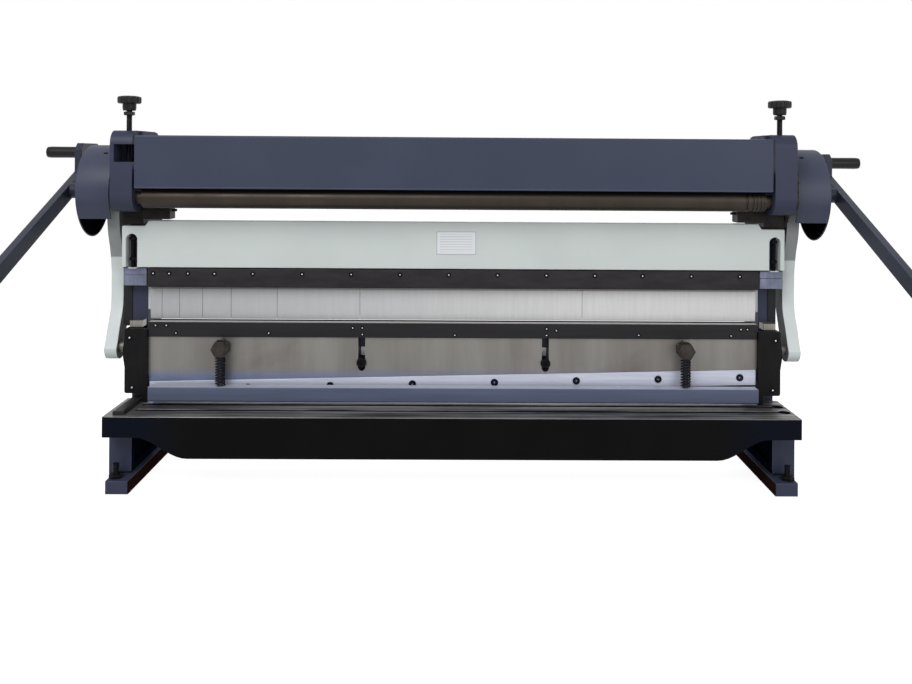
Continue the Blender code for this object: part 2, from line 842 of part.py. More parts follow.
def eye_bolt(word, side, holder):
    name = word + "_eye_bolt"
    x = side * rod_x
    # Turned a twelfth so that a flat faces down onto the spring
    flats = [(x + v, eye_z + u) for u, v in hexagon(0, 0, eye_across)]
    flats = [(x + (u - x) * math.cos(math.pi / 6) - (v - eye_z) * math.sin(math.pi / 6),
              eye_z + (u - x) * math.sin(math.pi / 6) + (v - eye_z) * math.cos(math.pi / 6))
             for u, v in flats]
    front = -rod_y - eye_thick / 2
    piece = place(prism_mesh(name, flats, "Y", front, front + eye_thick), name, black, holder)
    shank = circle(x, eye_z, eye_shank, round_steps // 2)
    join(piece, prism_mesh("shank", shank, "Y", front + eye_thick - overrun, -carriage_front - seat_gap))
    hole = circle(x, -rod_y, rod_radius + run_gap, round_steps // 2)
    cut(piece, prism_mesh("rod_hole", hole, "Z", eye_z - eye_across, eye_z + eye_across))
    return piece


# Hold-down bar, its rods and springs
def hold_bar(holder):
    outline = rounded([(-hold_front, hold_low, hold_radius), (-hold_back, hold_low, hold_radius),
                       (-hold_back, hold_top, hold_radius), (-hold_front, hold_top, hold_radius)], 2)
    piece = place(prism_mesh("hold_down_bar", outline, "X", -hold_half, hold_half), "hold_down_bar",
                  bar_blue, holder)
    for side in (-1, 1):
        hole = circle(side * rod_x, -rod_y, rod_radius + seat_gap, round_steps // 2)
        cut(piece, prism_mesh("rod_seat", hole, "Z", hold_top - hold_seat_deep, hold_top + overrun))
    return piece


def hold_rod(word, side, holder):
    name = word + "_hold_down_rod"
    low_z = hold_top - hold_seat_deep + seat_gap
    profile = [(0, low_z), (rod_radius, low_z), (rod_radius, rod_top - plain_gap),
               (rod_radius - plain_gap, rod_top), (0, rod_top)]
    return place(turned_mesh(name, profile, "Z", side * rod_x, -rod_y, round_steps // 2), name, steel, holder)


def spring_route(side):
    # A helix whose first and last points run straight along the axis for one wire width
    steps = spring_curls * spring_points
    base = spring_low + spring_wire
    rise = spring_top - spring_wire - base
    turns = np.arange(steps + 1) / spring_points * 2 * np.pi
    radius = (spring_outer - spring_wire) / 2
    x = side * rod_x + radius * np.cos(turns)
    y = -rod_y + radius * np.sin(turns)
    z = base + rise * np.arange(steps + 1) / steps
    points = np.stack([x, y, z], 1)
    first = points[0] - np.array([0, 0, spring_wire])
    last = points[-1] + np.array([0, 0, spring_wire])
    return np.vstack([first, points, last])


def spring_piece(word, side, holder):
    name = word + "_hold_down_spring"
    route = spring_route(side)
    line = bpy.data.curves.new(name, "CURVE")
    line.dimensions = "3D"
    line.bevel_depth = spring_wire / 2
    line.bevel_resolution = 1
    line.use_fill_caps = True
    spline = line.splines.new("POLY")
    spline.points.add(len(route) - 1)
    spline.points.foreach_set("co", np.hstack([route, np.ones((len(route), 1))]).ravel())
    line.materials.append(steel)
    piece = bpy.data.objects.new(name, line)
    piece.parent = holder
    piece.location = -holder.location
    bpy.context.collection.objects.link(piece)
    pitch = (route[-2][2] - route[1][2]) / spring_curls
    apart = np.linalg.norm(route[:, None] - route[None], axis=2)
    index = np.arange(len(route))
    far = np.abs(index[:, None] - index[None]) > spring_points // 2
    least = apart[far].min() - spring_wire
    print(name, "pitch", round(pitch * 1000, 2), "mm, least gap to itself", round(least * 1000, 2), "mm")
    return piece


# Main shaft, stepped down outside the frames where gear, eccentrics and levers sit
def main_shaft(holder):
    end = lever_outer - seat_gap
    half = [(shaft_radius, shaft_step), (shaft_end_radius, shaft_step), (shaft_end_radius, end - plain_gap),
            (shaft_end_radius - plain_gap, end), (0, end)]
    profile = [(radius, -x) for radius, x in reversed(half)] + half
    return place(turned_mesh("main_shaft", profile, "X", shaft_y, shaft_z), "main_shaft", steel, holder)


# Eccentric: a disc set off the shaft by half the stroke, running inside the link's ring
def eccentric_piece(word, side, holder):
    name = word + "_eccentric"
    low, high = across(side, link_inner + eccentric_inset, link_outer - eccentric_inset)
    mesh = prism_mesh(name, circle(crank_y, crank_z, eccentric_radius, fine_steps), "X", low, high)
    piece = place(mesh, name, steel, holder)
    bore = circle(shaft_y, shaft_z, shaft_end_radius + seat_gap)
    cut(piece, prism_mesh("bore", bore, "X", low - overrun, high + overrun))
    return piece


# Gears: an involute tooth repeated round the pitch circle
def gear_outline(teeth, u, v, phase):
    pitch = gear_module * teeth / 2
    base = pitch * math.cos(gear_pressure)
    tip = pitch + gear_module * gear_tip_share
    root = pitch - gear_module * gear_root_share
    opening = math.tan(gear_pressure) - gear_pressure
    half_tooth = math.pi / (teeth * 2) - gear_backlash / 2 / pitch
    flank = []
    for radius in np.linspace(max(base, root), tip, 3):
        roll = math.acos(min(1.0, base / radius))
        flank.append((radius, half_tooth + opening - (math.tan(roll) - roll)))
    if base > root:
        flank.insert(0, (root, flank[0][1]))
    outline = []
    for tooth in range(teeth):
        middle = phase + tooth * 2 * math.pi / teeth
        for radius, angle in [(r, -a) for r, a in flank] + [(r, a) for r, a in reversed(flank)]:
            outline.append((u + radius * math.cos(middle + angle), v + radius * math.sin(middle + angle)))
    return outline


def gear_piece(name, teeth, centre, phase, bore, holder):
    end = gear_inner + gear_thick
    piece = place(prism_mesh(name, gear_outline(teeth, *centre, phase), "X", gear_inner, end), name,
                  steel, holder)
    hole = circle(centre[0], centre[1], bore + seat_gap)
    cut(piece, prism_mesh("bore", hole, "X", gear_inner - overrun, end + overrun))
    return piece


# Lever: a flat bar forward, a hub on the shaft end and a plate behind it for the short crank grip
def lever_bar_outline():
    forward = Vector((-math.cos(lever_angle), -math.sin(lever_angle)))
    normal = Vector((-forward.y, forward.x)) * lever_half
    hub = Vector((shaft_y, shaft_z))
    far = hub + forward * lever_long
    end = lever_half * lever_end_share
    corners = [(hub + normal, 0), (far + normal, end), (far - normal, end), (hub - normal, 0)]
    return rounded([(point.x, point.y, radius) for point, radius in corners])


def arm_outline():
    low = shaft_z - lever_half
    return [(shaft_y, low), (arm_rear_y - arm_corner, arm_low_z - arm_corner), (arm_rear_y, arm_low_z),
            (arm_rear_y, arm_top_z - arm_chamfer), (arm_rear_y - arm_chamfer, arm_top_z),
            (arm_front_y + arm_chamfer, arm_top_z), (arm_front_y, arm_top_z - arm_chamfer),
            (arm_front_y, shaft_z + lever_half * 2), (shaft_y, shaft_z + lever_half)]


def lever_piece(word, side, holder):
    low, high = across(side, lever_inner, lever_outer)
    name = word + "_lever"
    piece = place(prism_mesh(name, lever_bar_outline(), "X", low, high), name, slate, holder)
    join(piece, prism_mesh("arm", arm_outline(), "X", low, high))
    low, high = across(side, lever_hub_inner, lever_outer)
    join(piece, prism_mesh("hub", circle(shaft_y, shaft_z, lever_hub_radius), "X", low, high))
    bore = circle(shaft_y, shaft_z, shaft_end_radius + seat_gap)
    cut(piece, prism_mesh("hub_bore", bore, "X", low - overrun, high + overrun))
    return piece


def grip_piece(word, side, holder):
    name = word + "_crank_grip"
    start = side * (lever_outer + seat_gap)
    turns = np.linspace(0, math.pi / 2, corner_steps)
    end = [(grip_radius - grip_round + grip_round * math.cos(t),
            side * (grip_end - grip_round + grip_round * math.sin(t)))
           for t in turns]
    profile = [(0, start), (grip_radius, start)] + end + [(0, side * grip_end)]
    return place(turned_mesh(name, profile, "X", grip_y, grip_z), name, plastic, holder)


# Slip rolls
def roll_piece(name, half, journal, left, right, centre, grooved, holder):
    profile = [(0, -left), (journal, -left), (journal, -half), (roll_radius, -half)]
    if grooved:
        for place_share, wide_share in zip(groove_place_shares, groove_radius_shares):
            x = place_share * roll_half
            wide = wide_share * roll_half
            floor = wide * groove_floor_share
            profile += [(roll_radius, x - wide), (roll_radius - wide, x - floor),
                        (roll_radius - wide, x + floor), (roll_radius, x + wide)]
    profile += [(roll_radius, half), (journal, half), (journal, right), (0, right)]
    return place(turned_mesh(name, profile, "X", *centre), name, roll_steel, holder)


# Bearing block of the upper roll, free to rise in the slot of the head
def bearing_block(word, side, holder):
    name = word + "_roll_block"
    low, high = across(side, frame_inner + block_inset, pad_face - block_inset)
    outline = box_outline(roll_y - block_half, roll_y + block_half, upper_roll_z - block_half,
                          upper_roll_z + block_half)
    piece = place(prism_mesh(name, outline, "X", low, high), name, steel, holder)
    bore = circle(roll_y, upper_roll_z, journal_radius + run_gap)
    cut(piece, prism_mesh("bore", bore, "X", low - overrun, high + overrun))
    return piece


# Rear roll bracket: a block with a rounded top that slides up the inner face of the frame
def rear_bracket(word, side, holder):
    name = word + "_rear_roll_bracket"
    outer = frame_inner - seat_gap
    inner = outer - bracket_long
    low, high = across(side, inner, outer)
    top_radius = (rear_bracket_back + rear_bracket_front) / 2 - plain_gap
    outline = rounded([(-rear_bracket_front, rear_bracket_low, 0), (rear_bracket_back, rear_bracket_low, 0),
                       (rear_bracket_back, rear_bracket_top, top_radius),
                       (-rear_bracket_front, rear_bracket_top, top_radius)])
    piece = place(prism_mesh(name, outline, "X", low, high), name, steel, holder)
    pin_low, pin_high = across(side, inner - rear_pin_long, inner + overrun)
    pin = circle(rear_roll_y, rear_pin_z, rear_pin_radius, round_steps // 2)
    join(piece, prism_mesh("lock_pin", pin, "X", pin_low, pin_high))
    bore = circle(rear_roll_y, rear_roll_z, rear_journal + run_gap)
    cut(piece, prism_mesh("bore", bore, "X", low - overrun, high + overrun))
    return piece


# Drum guard: a full end disc with a band round it, cut off level below the shaft so the link can pass
def guard_piece(word, side, holder):
    name = word + "_gear_guard"
    low, high = across(side, guard_inner, guard_outer)
    outer = circle(shaft_y, shaft_z, guard_radius, fine_steps)
    piece = place(prism_mesh(name, outer, "X", low, high), name, slate, holder)
    low, high = across(side, pad_face + seat_gap, guard_inner + overrun)
    join(piece, prism_mesh("skirt", skirt_outline(guard_radius), "X", low, high))
    low, high = across(side, pad_face - overrun, guard_outer - guard_wall)
    inside = circle(shaft_y, shaft_z, guard_radius - guard_wall, fine_steps)
    cut(piece, prism_mesh("inside", inside, "X", low, high))
    open_half = guard_radius + overrun
    below = box_outline(shaft_y - open_half, shaft_y + open_half, shaft_z - open_half, guard_cut)
    cut(piece, prism_mesh("opening", below, "X", low, high))
    low, high = across(side, guard_outer - guard_wall - overrun, guard_outer + overrun)
    cut(piece, prism_mesh("bore", circle(shaft_y, shaft_z, guard_hole), "X", low, high))
    return piece


def skirt_outline(radius):
    # The upper rear quarter of the band reaches in to the frame
    quarter = fine_steps // 4
    return [(shaft_y, shaft_z)] + circle(shaft_y, shaft_z, radius, fine_steps)[:quarter + 1]


# Front beam: a folded channel, open to the rolls, with a bracket plate at each end
def front_beam(holder):
    back = -front_beam_front + front_beam_plate
    low_in = front_beam_low + front_beam_flange
    top_in = front_beam_top - front_beam_flange
    outline = rounded([(-front_beam_front, front_beam_low, front_beam_corner),
                       (-front_beam_low_back, front_beam_low, 0),
                       (-front_beam_low_back, low_in, 0), (back, low_in, 0), (back, top_in, 0),
                       (-front_beam_top_back, top_in, 0), (-front_beam_top_back, front_beam_top, 0),
                       (-front_beam_front, front_beam_top, front_beam_corner)], 3)
    mesh = prism_mesh("roll_guard_beam", outline, "X", -front_beam_half, front_beam_half)
    return place(mesh, "roll_guard_beam", slate, holder)


# Upper beam: the painted front plate with stepped ends and open slots for the jack screws
def beam_outline():
    radius = end_slot_width / 2
    centre_z = end_slot_top - radius
    stepped = rounded([(0, plate_low, 0), (0, plate_top, 0),
                       (step_half - step_radius, plate_top, step_radius / 2),
                       (step_half, plate_top - step_drop, step_radius / 2),
                       (plate_half, plate_top - step_drop, step_radius / 4), (plate_half, plate_low, 0)])[2:]
    arch = [(end_slot_x + radius * math.cos(t), centre_z + radius * math.sin(t))
            for t in np.linspace(0, math.pi, corner_steps * 2 + 1)]
    right = stepped + [(end_slot_x + radius, plate_low)] + arch + [(end_slot_x - radius, plate_low)]
    return right + [(-x, z) for x, z in reversed(right)]


def upper_plate(holder):
    mesh = prism_mesh("upper_beam", beam_outline(), "Y", -plate_front, 0)
    return place(mesh, "upper_beam", cream, holder)


# Backing bar behind the plate, rebated for the fingers that hang in front of its lower half
def backing_bar(holder):
    reach = frame_inner - seat_gap
    step_y = finger_thick + seat_gap
    bar = [(seat_gap, plate_low), (step_y, plate_low), (step_y, back_bar_low), (back_bar_deep, back_bar_low),
           (back_bar_deep, back_bar_top), (seat_gap, back_bar_top)]
    return place(prism_mesh("beam_backing_bar", bar, "X", -reach, reach), "beam_backing_bar", cream, holder)


# Eight brake fingers of graded widths, tapered on both faces down to the bending edge
def finger_pieces(holder):
    total = sum(finger_width_shares)
    start = -half_width
    for number, share in enumerate(finger_width_shares, 1):
        width = work_width * share / total
        outline = [(0, finger_top), (0, finger_tip + finger_front_taper),
                   (vee_y - finger_tip_half, finger_tip),
                   (vee_y + finger_tip_half, finger_tip), (finger_thick, finger_tip + finger_back_taper),
                   (finger_thick, finger_top)]
        name = "finger_" + str(number)
        mesh = prism_mesh(name, outline, "X", start + finger_gap / 2, start + width - finger_gap / 2)
        place(mesh, name, finger_steel, holder)
        start = start + width


def strip_piece(holder):
    outline = rounded([(-strip_front, strip_low, strip_radius), (-seat_gap, strip_low, 0),
                       (-seat_gap, strip_top, 0),
                       (-strip_front, strip_top, strip_radius)], 2)
    return place(prism_mesh("clamp_strip", outline, "X", -half_width, half_width), "clamp_strip", black,
                 holder)


# Adjuster bracket on the frame below the beam's end, with a seam across its face
def bracket_piece(word, side, holder):
    name = word + "_adjuster_bracket"
    low, high = across(side, bracket_inner, bracket_outer)
    seam_top = bracket_seam_z + bracket_seam
    outline = [(-bracket_front, bracket_low), (0, bracket_low), (0, bracket_top),
               (-bracket_front, bracket_top),
               (-bracket_front, seam_top), (-bracket_front + bracket_seam, seam_top),
               (-bracket_front + bracket_seam, bracket_seam_z), (-bracket_front, bracket_seam_z)]
    return place(prism_mesh(name, outline, "X", low, high), name, bar_blue, holder)


# Jack screw standing on the bracket inside the slot of the beam, with a lock nut and a hexagon head
def jack_screw(word, side, holder):
    name = word + "_jack_screw"
    x = side * end_slot_x
    top = end_slot_top - jack_top_gap
    base = bracket_top + seat_gap
    piece = place(prism_mesh(name, circle(x, -jack_y, jack_radius, round_steps // 2), "Z", base, top),
                  name, steel, holder)
    for low in (jack_nut_low, jack_head_low):
        flats = hexagon(x, -jack_y, jack_nut_across)
        join(piece, prism_mesh("jack_hexagon", flats, "Z", low, low + jack_nut_high))
    return piece


# Star knob on its pressure screw
def star_outline(x, y):
    steps = knob_lobes * 6
    outline = []
    for step in range(steps):
        turn = step * 2 * math.pi / steps
        radius = knob_radius - knob_lobe / 2 + knob_lobe / 2 * math.cos(turn * knob_lobes)
        outline.append((x + radius * math.cos(turn), y + radius * math.sin(turn)))
    return outline


def knob_piece(word, side, holder):
    name = word + "_knob_screw"
    x = side * knob_x
    cap_low = knob_cap_low
    mesh = prism_mesh(name, star_outline(x, roll_y), "Z", cap_low, cap_low + knob_cap_high)
    piece = place(mesh, name, plastic, holder)
    screw_low = upper_roll_z + block_half + seat_gap
    neck_top = knob_cap_low + knob_cap_round
    profile = [(0, screw_low), (knob_screw_radius, screw_low), (knob_screw_radius, knob_neck_low),
               (knob_neck_radius - plain_gap, knob_neck_low), (knob_neck_radius, knob_neck_low + plain_gap),
               (knob_neck_radius, neck_top), (0, neck_top)]
    join(piece, turned_mesh("stem", profile, "Z", x, roll_y, round_steps // 2))
    nut = hexagon(x, roll_y, knob_nut_across)
    join(piece, prism_mesh("nut", nut, "Z", knob_nut_low, knob_nut_low + knob_nut_high))
    return piece


# The fixed body
fixed = body("frame_body")
for word, side in sides():
    side_frame(word, side, fixed)
    guide_piece(word, side, fixed)
    guide_bolt(word, side, fixed)
    guard_piece(word, side, fixed)
    bracket_piece(word, side, fixed)
    jack_screw(word, side, fixed)
table_piece(fixed)
lower_blade_piece(fixed)
gauge_piece(fixed)
tie_piece(fixed)
front_beam(fixed)

# The upper beam, adjustable in height
upper = body("beam_body", (0, 0, plate_low))
upper_plate(upper)
backing_bar(upper)
strip_piece(upper)
finger_pieces(upper)

# The carriage with everything that rises and falls with it
moving = body("carriage_body", (0, link_pin_y, link_pin_z))
carriage_piece(moving)
upper_blade_piece(moving)
die_piece(moving)
for word, side in sides():
    eye_bolt(word, side, moving)

# The links that swing on the carriage pins
for word, side in sides():
    link_piece(word, side, body(word + "_link_body", (side * link_inner, link_pin_y, link_pin_z)))

# The sprung hold-down
hold = body("hold_down_body", (0, -rod_y, hold_top))
hold_bar(hold)
for word, side in sides():
    hold_rod(word, side, hold)
    spring_piece(word, side, hold)

# The main shaft and what turns with it
turning = body("main_shaft_body", (0, shaft_y, shaft_z))
main_shaft(turning)
for word, side in sides():
    eccentric_piece(word, side, turning)
    lever_piece(word, side, turning)
    grip_piece(word, side, turning)
to_roll = math.atan2(lower_roll_z - shaft_z, roll_y - shaft_y)
gear_piece("drive_gear", drive_teeth, (shaft_y, shaft_z), to_roll, shaft_end_radius, turning)

# The lower roll and its gear, meshed with the drive gear
lower = body("lower_roll_body", (0, roll_y, lower_roll_z))
journal_end = pad_face - journal_inset
roll_piece("lower_roll", roll_half, journal_radius, journal_end, gear_inner + gear_thick,
           (roll_y, lower_roll_z), True, lower)
lower_phase = to_roll + math.pi + math.pi / roll_teeth
gear_piece("lower_roll_gear", roll_teeth, (roll_y, lower_roll_z), lower_phase, journal_radius, lower)

# The upper roll in its sliding blocks, with a gear in step with the lower one
blocks = body("roll_block_body", (0, roll_y, upper_roll_z))
for word, side in sides():
    bearing_block(word, side, blocks)
upper_turn = body("upper_roll_body", (0, roll_y, upper_roll_z))
roll_piece("upper_roll", roll_half, journal_radius, journal_end, gear_inner + gear_thick,
           (roll_y, upper_roll_z), False, upper_turn)
upper_phase = math.pi / roll_teeth - lower_phase
gear_piece("upper_roll_gear", roll_teeth, (roll_y, upper_roll_z), upper_phase, journal_radius, upper_turn)
for word, side in sides():
    knob_piece(word, side, body(word + "_knob_body", (side * knob_x, roll_y, head_top)))

# The rear roll in its own brackets
rear_slide = body("rear_bracket_body", (0, rear_roll_y, rear_roll_z))
for word, side in sides():
    rear_bracket(word, side, rear_slide)
rear_turn = body("rear_roll_body", (0, rear_roll_y, rear_roll_z))
rear_end = frame_inner - rear_journal_inset
roll_piece("rear_roll", rear_roll_half, rear_journal, rear_end, rear_end, (rear_roll_y, rear_roll_z),
           False, rear_turn)
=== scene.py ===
# Looks for the combination sheet metal machine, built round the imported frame.
# Metres, +Z up, X along the working width, the front faces -Y.
import json
import math

import bmesh
import bpy
import numpy as np
from mathutils import Matrix, Vector

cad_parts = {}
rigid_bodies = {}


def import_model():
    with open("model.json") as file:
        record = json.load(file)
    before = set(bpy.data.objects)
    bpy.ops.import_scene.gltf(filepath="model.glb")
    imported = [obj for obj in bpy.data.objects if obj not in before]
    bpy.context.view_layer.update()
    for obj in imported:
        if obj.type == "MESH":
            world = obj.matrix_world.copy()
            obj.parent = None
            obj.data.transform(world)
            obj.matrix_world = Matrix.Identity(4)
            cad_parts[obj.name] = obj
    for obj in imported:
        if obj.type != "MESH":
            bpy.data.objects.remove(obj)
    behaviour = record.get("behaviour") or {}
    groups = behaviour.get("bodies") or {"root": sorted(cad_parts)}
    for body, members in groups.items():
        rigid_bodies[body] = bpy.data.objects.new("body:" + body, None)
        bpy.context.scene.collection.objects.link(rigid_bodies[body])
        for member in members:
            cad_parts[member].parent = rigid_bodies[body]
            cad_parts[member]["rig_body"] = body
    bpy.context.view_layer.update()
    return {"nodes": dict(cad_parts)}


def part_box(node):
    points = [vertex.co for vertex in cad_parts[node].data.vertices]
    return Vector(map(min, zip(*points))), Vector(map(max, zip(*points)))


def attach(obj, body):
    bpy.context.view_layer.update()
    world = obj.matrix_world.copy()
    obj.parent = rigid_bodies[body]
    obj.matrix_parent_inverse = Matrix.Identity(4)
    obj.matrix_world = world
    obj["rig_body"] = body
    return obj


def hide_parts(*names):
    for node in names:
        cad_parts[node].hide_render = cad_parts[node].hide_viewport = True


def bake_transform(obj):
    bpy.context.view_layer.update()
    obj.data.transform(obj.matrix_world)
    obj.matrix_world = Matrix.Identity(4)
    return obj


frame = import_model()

nodes = frame["nodes"]
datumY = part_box("finger_1")[0].y     # front face of the brake fingers
bothSides = (("left", -1), ("right", 1))
welds = {"made": 1e-6, "cad": 2e-6, "flat": 0.6}     # metres, metres and degrees


# Small tools for meshes
def gridFaces(rows, columns, closeRows=False):
    # Each face joins four neighbours of a grid that is stored row by row, and the columns close a ring
    r, c = np.meshgrid(np.arange(rows if closeRows else rows - 1), np.arange(columns), indexing="ij")
    r2, c2 = (r + 1) % rows, (c + 1) % columns
    corners = [r * columns + c, r * columns + c2, r2 * columns + c2, r2 * columns + c]
    return np.stack(corners, -1).reshape(-1, 4)


def merged(parts):
    # Several (points, faces) pairs as one pair, the faces counted on
    points, faces, start = [], [], 0
    for partPoints, partFaces in parts:
        flat = np.asarray(partPoints, float).reshape(-1, 3)
        points.append(flat)
        faces.append(np.asarray(partFaces) + start)
        start += len(flat)
    return np.vstack(points), np.vstack(faces)


def repeated(shape, places):
    # The same (points, faces) at each place
    points, faces = shape
    flat = np.asarray(points, float).reshape(-1, 3)
    return merged([(flat + np.asarray(place), faces) for place in places])


def linked(name, data):
    thing = bpy.data.objects.new(name, data)
    bpy.context.scene.collection.objects.link(thing)
    return thing


def welded(mesh, distance, flatAngle=None):
    # Merges points that coincide, and then the faces that lie flat with each other; with no angle
    # given, the faces are turned outward instead
    work = bmesh.new()
    work.from_mesh(mesh)
    bmesh.ops.remove_doubles(work, verts=work.verts[:], dist=distance)
    if flatAngle:
        limit = math.radians(flatAngle)
        bmesh.ops.dissolve_limit(work, angle_limit=limit, verts=work.verts[:], edges=work.edges[:])
    else:
        bmesh.ops.recalc_face_normals(work, faces=work.faces[:])
    work.to_mesh(mesh)
    work.free()
    mesh.shade_smooth()


def newPiece(name, shape, finish, body, sharpAngle=38, stands=()):
    # A piece from its (points, faces), which rides on a body and stands for the CAD nodes named
    points, faces = shape
    mesh = bpy.data.meshes.new(name)
    mesh.from_pydata(np.asarray(points, float).reshape(-1, 3).tolist(), [],
                     [list(map(int, face)) for face in faces])
    welded(mesh, welds["made"])
    mesh.set_sharp_from_angle(angle=math.radians(sharpAngle))
    mesh.materials.append(finish)
    piece = linked(name, mesh)
    if body:
        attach(piece, body)
    for node in stands:
        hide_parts(node)
    return piece


def boxed(node):
    # The low and high corner of a CAD node, and its middle
    low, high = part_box(node)
    return low, high, [(a + b) / 2 for a, b in zip(low, high)]


def turned(profile, axis, centre, steps=48, flats=None, wave=None):
    # Rows follow the (radius, place along the axis) profile and columns go once round the axis.
    # flats trims each row to a hexagon of that size across; wave scales the radius by the angle.
    radius, along = np.array(profile, float).T
    angle = np.arange(steps) * 2 * np.pi / steps
    r = radius[:, None] + 0 * angle[None]
    if flats:
        sector = np.mod(angle + np.pi / 6, np.pi / 3) - np.pi / 6
        r = np.minimum(r, flats / 2 / np.cos(sector)[None])
    if wave is not None:
        r = r * wave(angle[None], along[:, None])
    u, v = r * np.cos(angle), r * np.sin(angle)
    w = along[:, None] + 0 * u
    order = {"X": (w, u, v), "Y": (u, w, v), "Z": (u, v, w)}[axis]
    return np.stack(order, -1) + np.asarray(centre), gridFaces(len(radius), steps)


def eased(corners, steps=4):
    # A profile whose corners (radius, along, fillet) are rounded: a quadratic curve leaves one side at
    # the point where an arc of that radius would touch it, and meets the other; a fillet of 0 stays sharp
    points = np.array([c[:2] for c in corners], float)
    line = []
    for index, corner in enumerate(corners):
        here, fillet = points[index], corner[2]
        if fillet == 0 or index in (0, len(corners) - 1):
            line.append(here)
            continue
        before, after = points[index - 1] - here, points[index + 1] - here
        before, after = before / np.linalg.norm(before), after / np.linalg.norm(after)
        half = math.acos(np.clip(before @ after, -1, 1)) / 2
        reach = fillet / math.tan(half)
        t = np.linspace(0, 1, steps + 1)[:, None]
        start, end = here + before * reach, here + after * reach
        line.extend((1 - t) ** 2 * start + 2 * t * (1 - t) * here + t ** 2 * end)
    return np.array(line)


thread = {"rowsPerPitch": 6, "deep": 0.42}     # depth as a share of the pitch


def threaded(low, high, radius, pitch, centre, steps=20):
    # Radius falls and rises once for each pitch of height, and the wave climbs one pitch a turn
    rows = int((high - low) / pitch * thread["rowsPerPitch"])
    z = np.linspace(low, high, rows)
    angle = np.arange(steps) * 2 * np.pi / steps
    phase = np.mod(z[:, None] / pitch - angle[None] / (2 * np.pi), 1)
    r = radius - pitch * thread["deep"] * np.abs(phase * 2 - 1)
    r[0] = r[-1] = 0
    grid = np.stack([r * np.cos(angle), r * np.sin(angle), z[:, None] + 0 * r], -1)
    return grid + np.asarray(centre), gridFaces(rows, steps)


# Shares of the head's radius, of the socket's size and of the height, and the chamfer in metres
headShape = {"edge": 0.16, "rim": 1.1, "flats": 1.74, "deep": 0.62, "chamfer": 0.0002}
glintShape = {"floor": 0.3, "tip": 1.15, "waist": 0.7}


def screwHead(radius, high, socket, steps=24):
    # A socket screw looking along -Y: a low round head with a hexagon sunk in its face
    outer = eased([(radius, 0, 0), (radius, -high, radius * headShape["edge"]),
                   (socket * headShape["rim"], -high, 0)])
    floor = high * headShape["deep"] - high
    inner = [(socket, -high + headShape["chamfer"]), (socket, floor), (0, floor)]
    back = np.zeros((1, steps, 3))
    rim = turned(outer, "Y", (0, 0, 0), steps)[0]
    pit = turned(inner, "Y", (0, 0, 0), steps, flats=socket * headShape["flats"])[0]
    rows = np.concatenate([back, rim, pit])
    return rows, gridFaces(len(rows), steps)


def socketGlint(radius, high, steps=12):
    # A painted highlight in a socket: a low bright dome that stands in the well of a screw of that height
    floor, tip = -high * glintShape["floor"], -high * glintShape["tip"]
    profile = [(0, floor), (radius, floor), (radius * glintShape["waist"], (floor + tip) / 2), (0, tip)]
    return turned(profile, "Y", (0, 0, 0), steps)


def roundEdges(piece, width, segments=2, angle=31):
    edge = piece.modifiers.new("softEdge", "BEVEL")
    edge.width = width
    edge.segments = segments
    edge.limit_method = "ANGLE"
    edge.angle_limit = math.radians(angle)
    edge.harden_normals = True
    edge.use_clamp_overlap = True
    even = piece.modifiers.new("evenShade", "WEIGHTED_NORMAL")
    even.keep_sharp = True


def slab(outline, low, high):
    # A flat plate: the outline (Y, Z) at two places along X, joined by a rim
    flat = np.asarray(outline, float)
    count = len(flat)
    points = np.vstack([np.insert(flat, 0, x, axis=1) for x in (low, high)])
    index = np.arange(count)
    after = (index + 1) % count
    rim = np.stack([index, after, after + count, index + count], -1).tolist()
    return points, rim + [index.tolist(), (index + count)[::-1].tolist()]


def softened(node, width, finish, segments=2, angle=31, moved=None):
    # A merged copy of a CAD node with its edges rounded off, which then stands for the node
    source = nodes[node]
    mesh = source.data.copy()
    mesh.name = node + "_soft"
    for label in ("custom_normal", "sharp_edge", "sharp_face"):
        if label in mesh.attributes:
            mesh.attributes.remove(mesh.attributes[label])
    welded(mesh, welds["cad"], welds["flat"])
    if moved:
        places = np.empty(len(mesh.vertices) * 3)
        mesh.vertices.foreach_get("co", places)
        mesh.vertices.foreach_set("co", moved(places.reshape(-1, 3)).ravel())
        mesh.update()
    piece = linked(node + "_soft", mesh)
    mesh.materials.clear()
    mesh.materials.append(finish)
    roundEdges(piece, width, segments, angle)
    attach(piece, source["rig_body"])
    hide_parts(node)


def repainted(node, finish):
    # The CAD node itself, shown with this finish
    nodes[node].data.materials.clear()
    nodes[node].data.materials.append(finish)


# Small tools for materials
def linear(*levels):
    # Screen levels of 0 to 255 as the linear colour that a shader takes
    shares = np.array(levels, float) / 255
    low, high = shares / 12.92, ((shares + 0.055) / 1.055) ** 2.4
    return (*[float(v) for v in np.where(shares <= 0.04045, low, high)], 1.0)


def addNode(tree, kind, inputs=None, **settings):
    node = tree.nodes.new(kind)
    for key, value in settings.items():
        setattr(node, key, value)
    for key, value in (inputs or {}).items():
        if isinstance(value, bpy.types.NodeSocket):
            tree.links.new(value, node.inputs[key])
        else:
            node.inputs[key].default_value = value
    return node


def mixed(tree, factor, first, second, blend="MIX"):
    inputs = {0: factor, 6: first, 7: second}
    return addNode(tree, "ShaderNodeMix", inputs, data_type="RGBA", blend_type=blend).outputs[2]


def ranged(tree, value, low, high, toLow=0.0, toHigh=1.0):
    node = addNode(tree, "ShaderNodeMapRange", {"Value": value, "From Min": low, "From Max": high,
                                                "To Min": toLow, "To Max": toHigh}, clamp=True)
    return node.outputs["Result"]


def calculated(tree, operation, first, second=0.0, clamp=True):
    node = addNode(tree, "ShaderNodeMath", {0: first, 1: second}, operation=operation, use_clamp=clamp)
    return node.outputs[0]


def times(tree, first, second, clamp=True):
    return calculated(tree, "MULTIPLY", first, second, clamp)


def below(tree, value, limit):
    return calculated(tree, "LESS_THAN", value, limit)


def magnitude(tree, value):
    return calculated(tree, "ABSOLUTE", value)


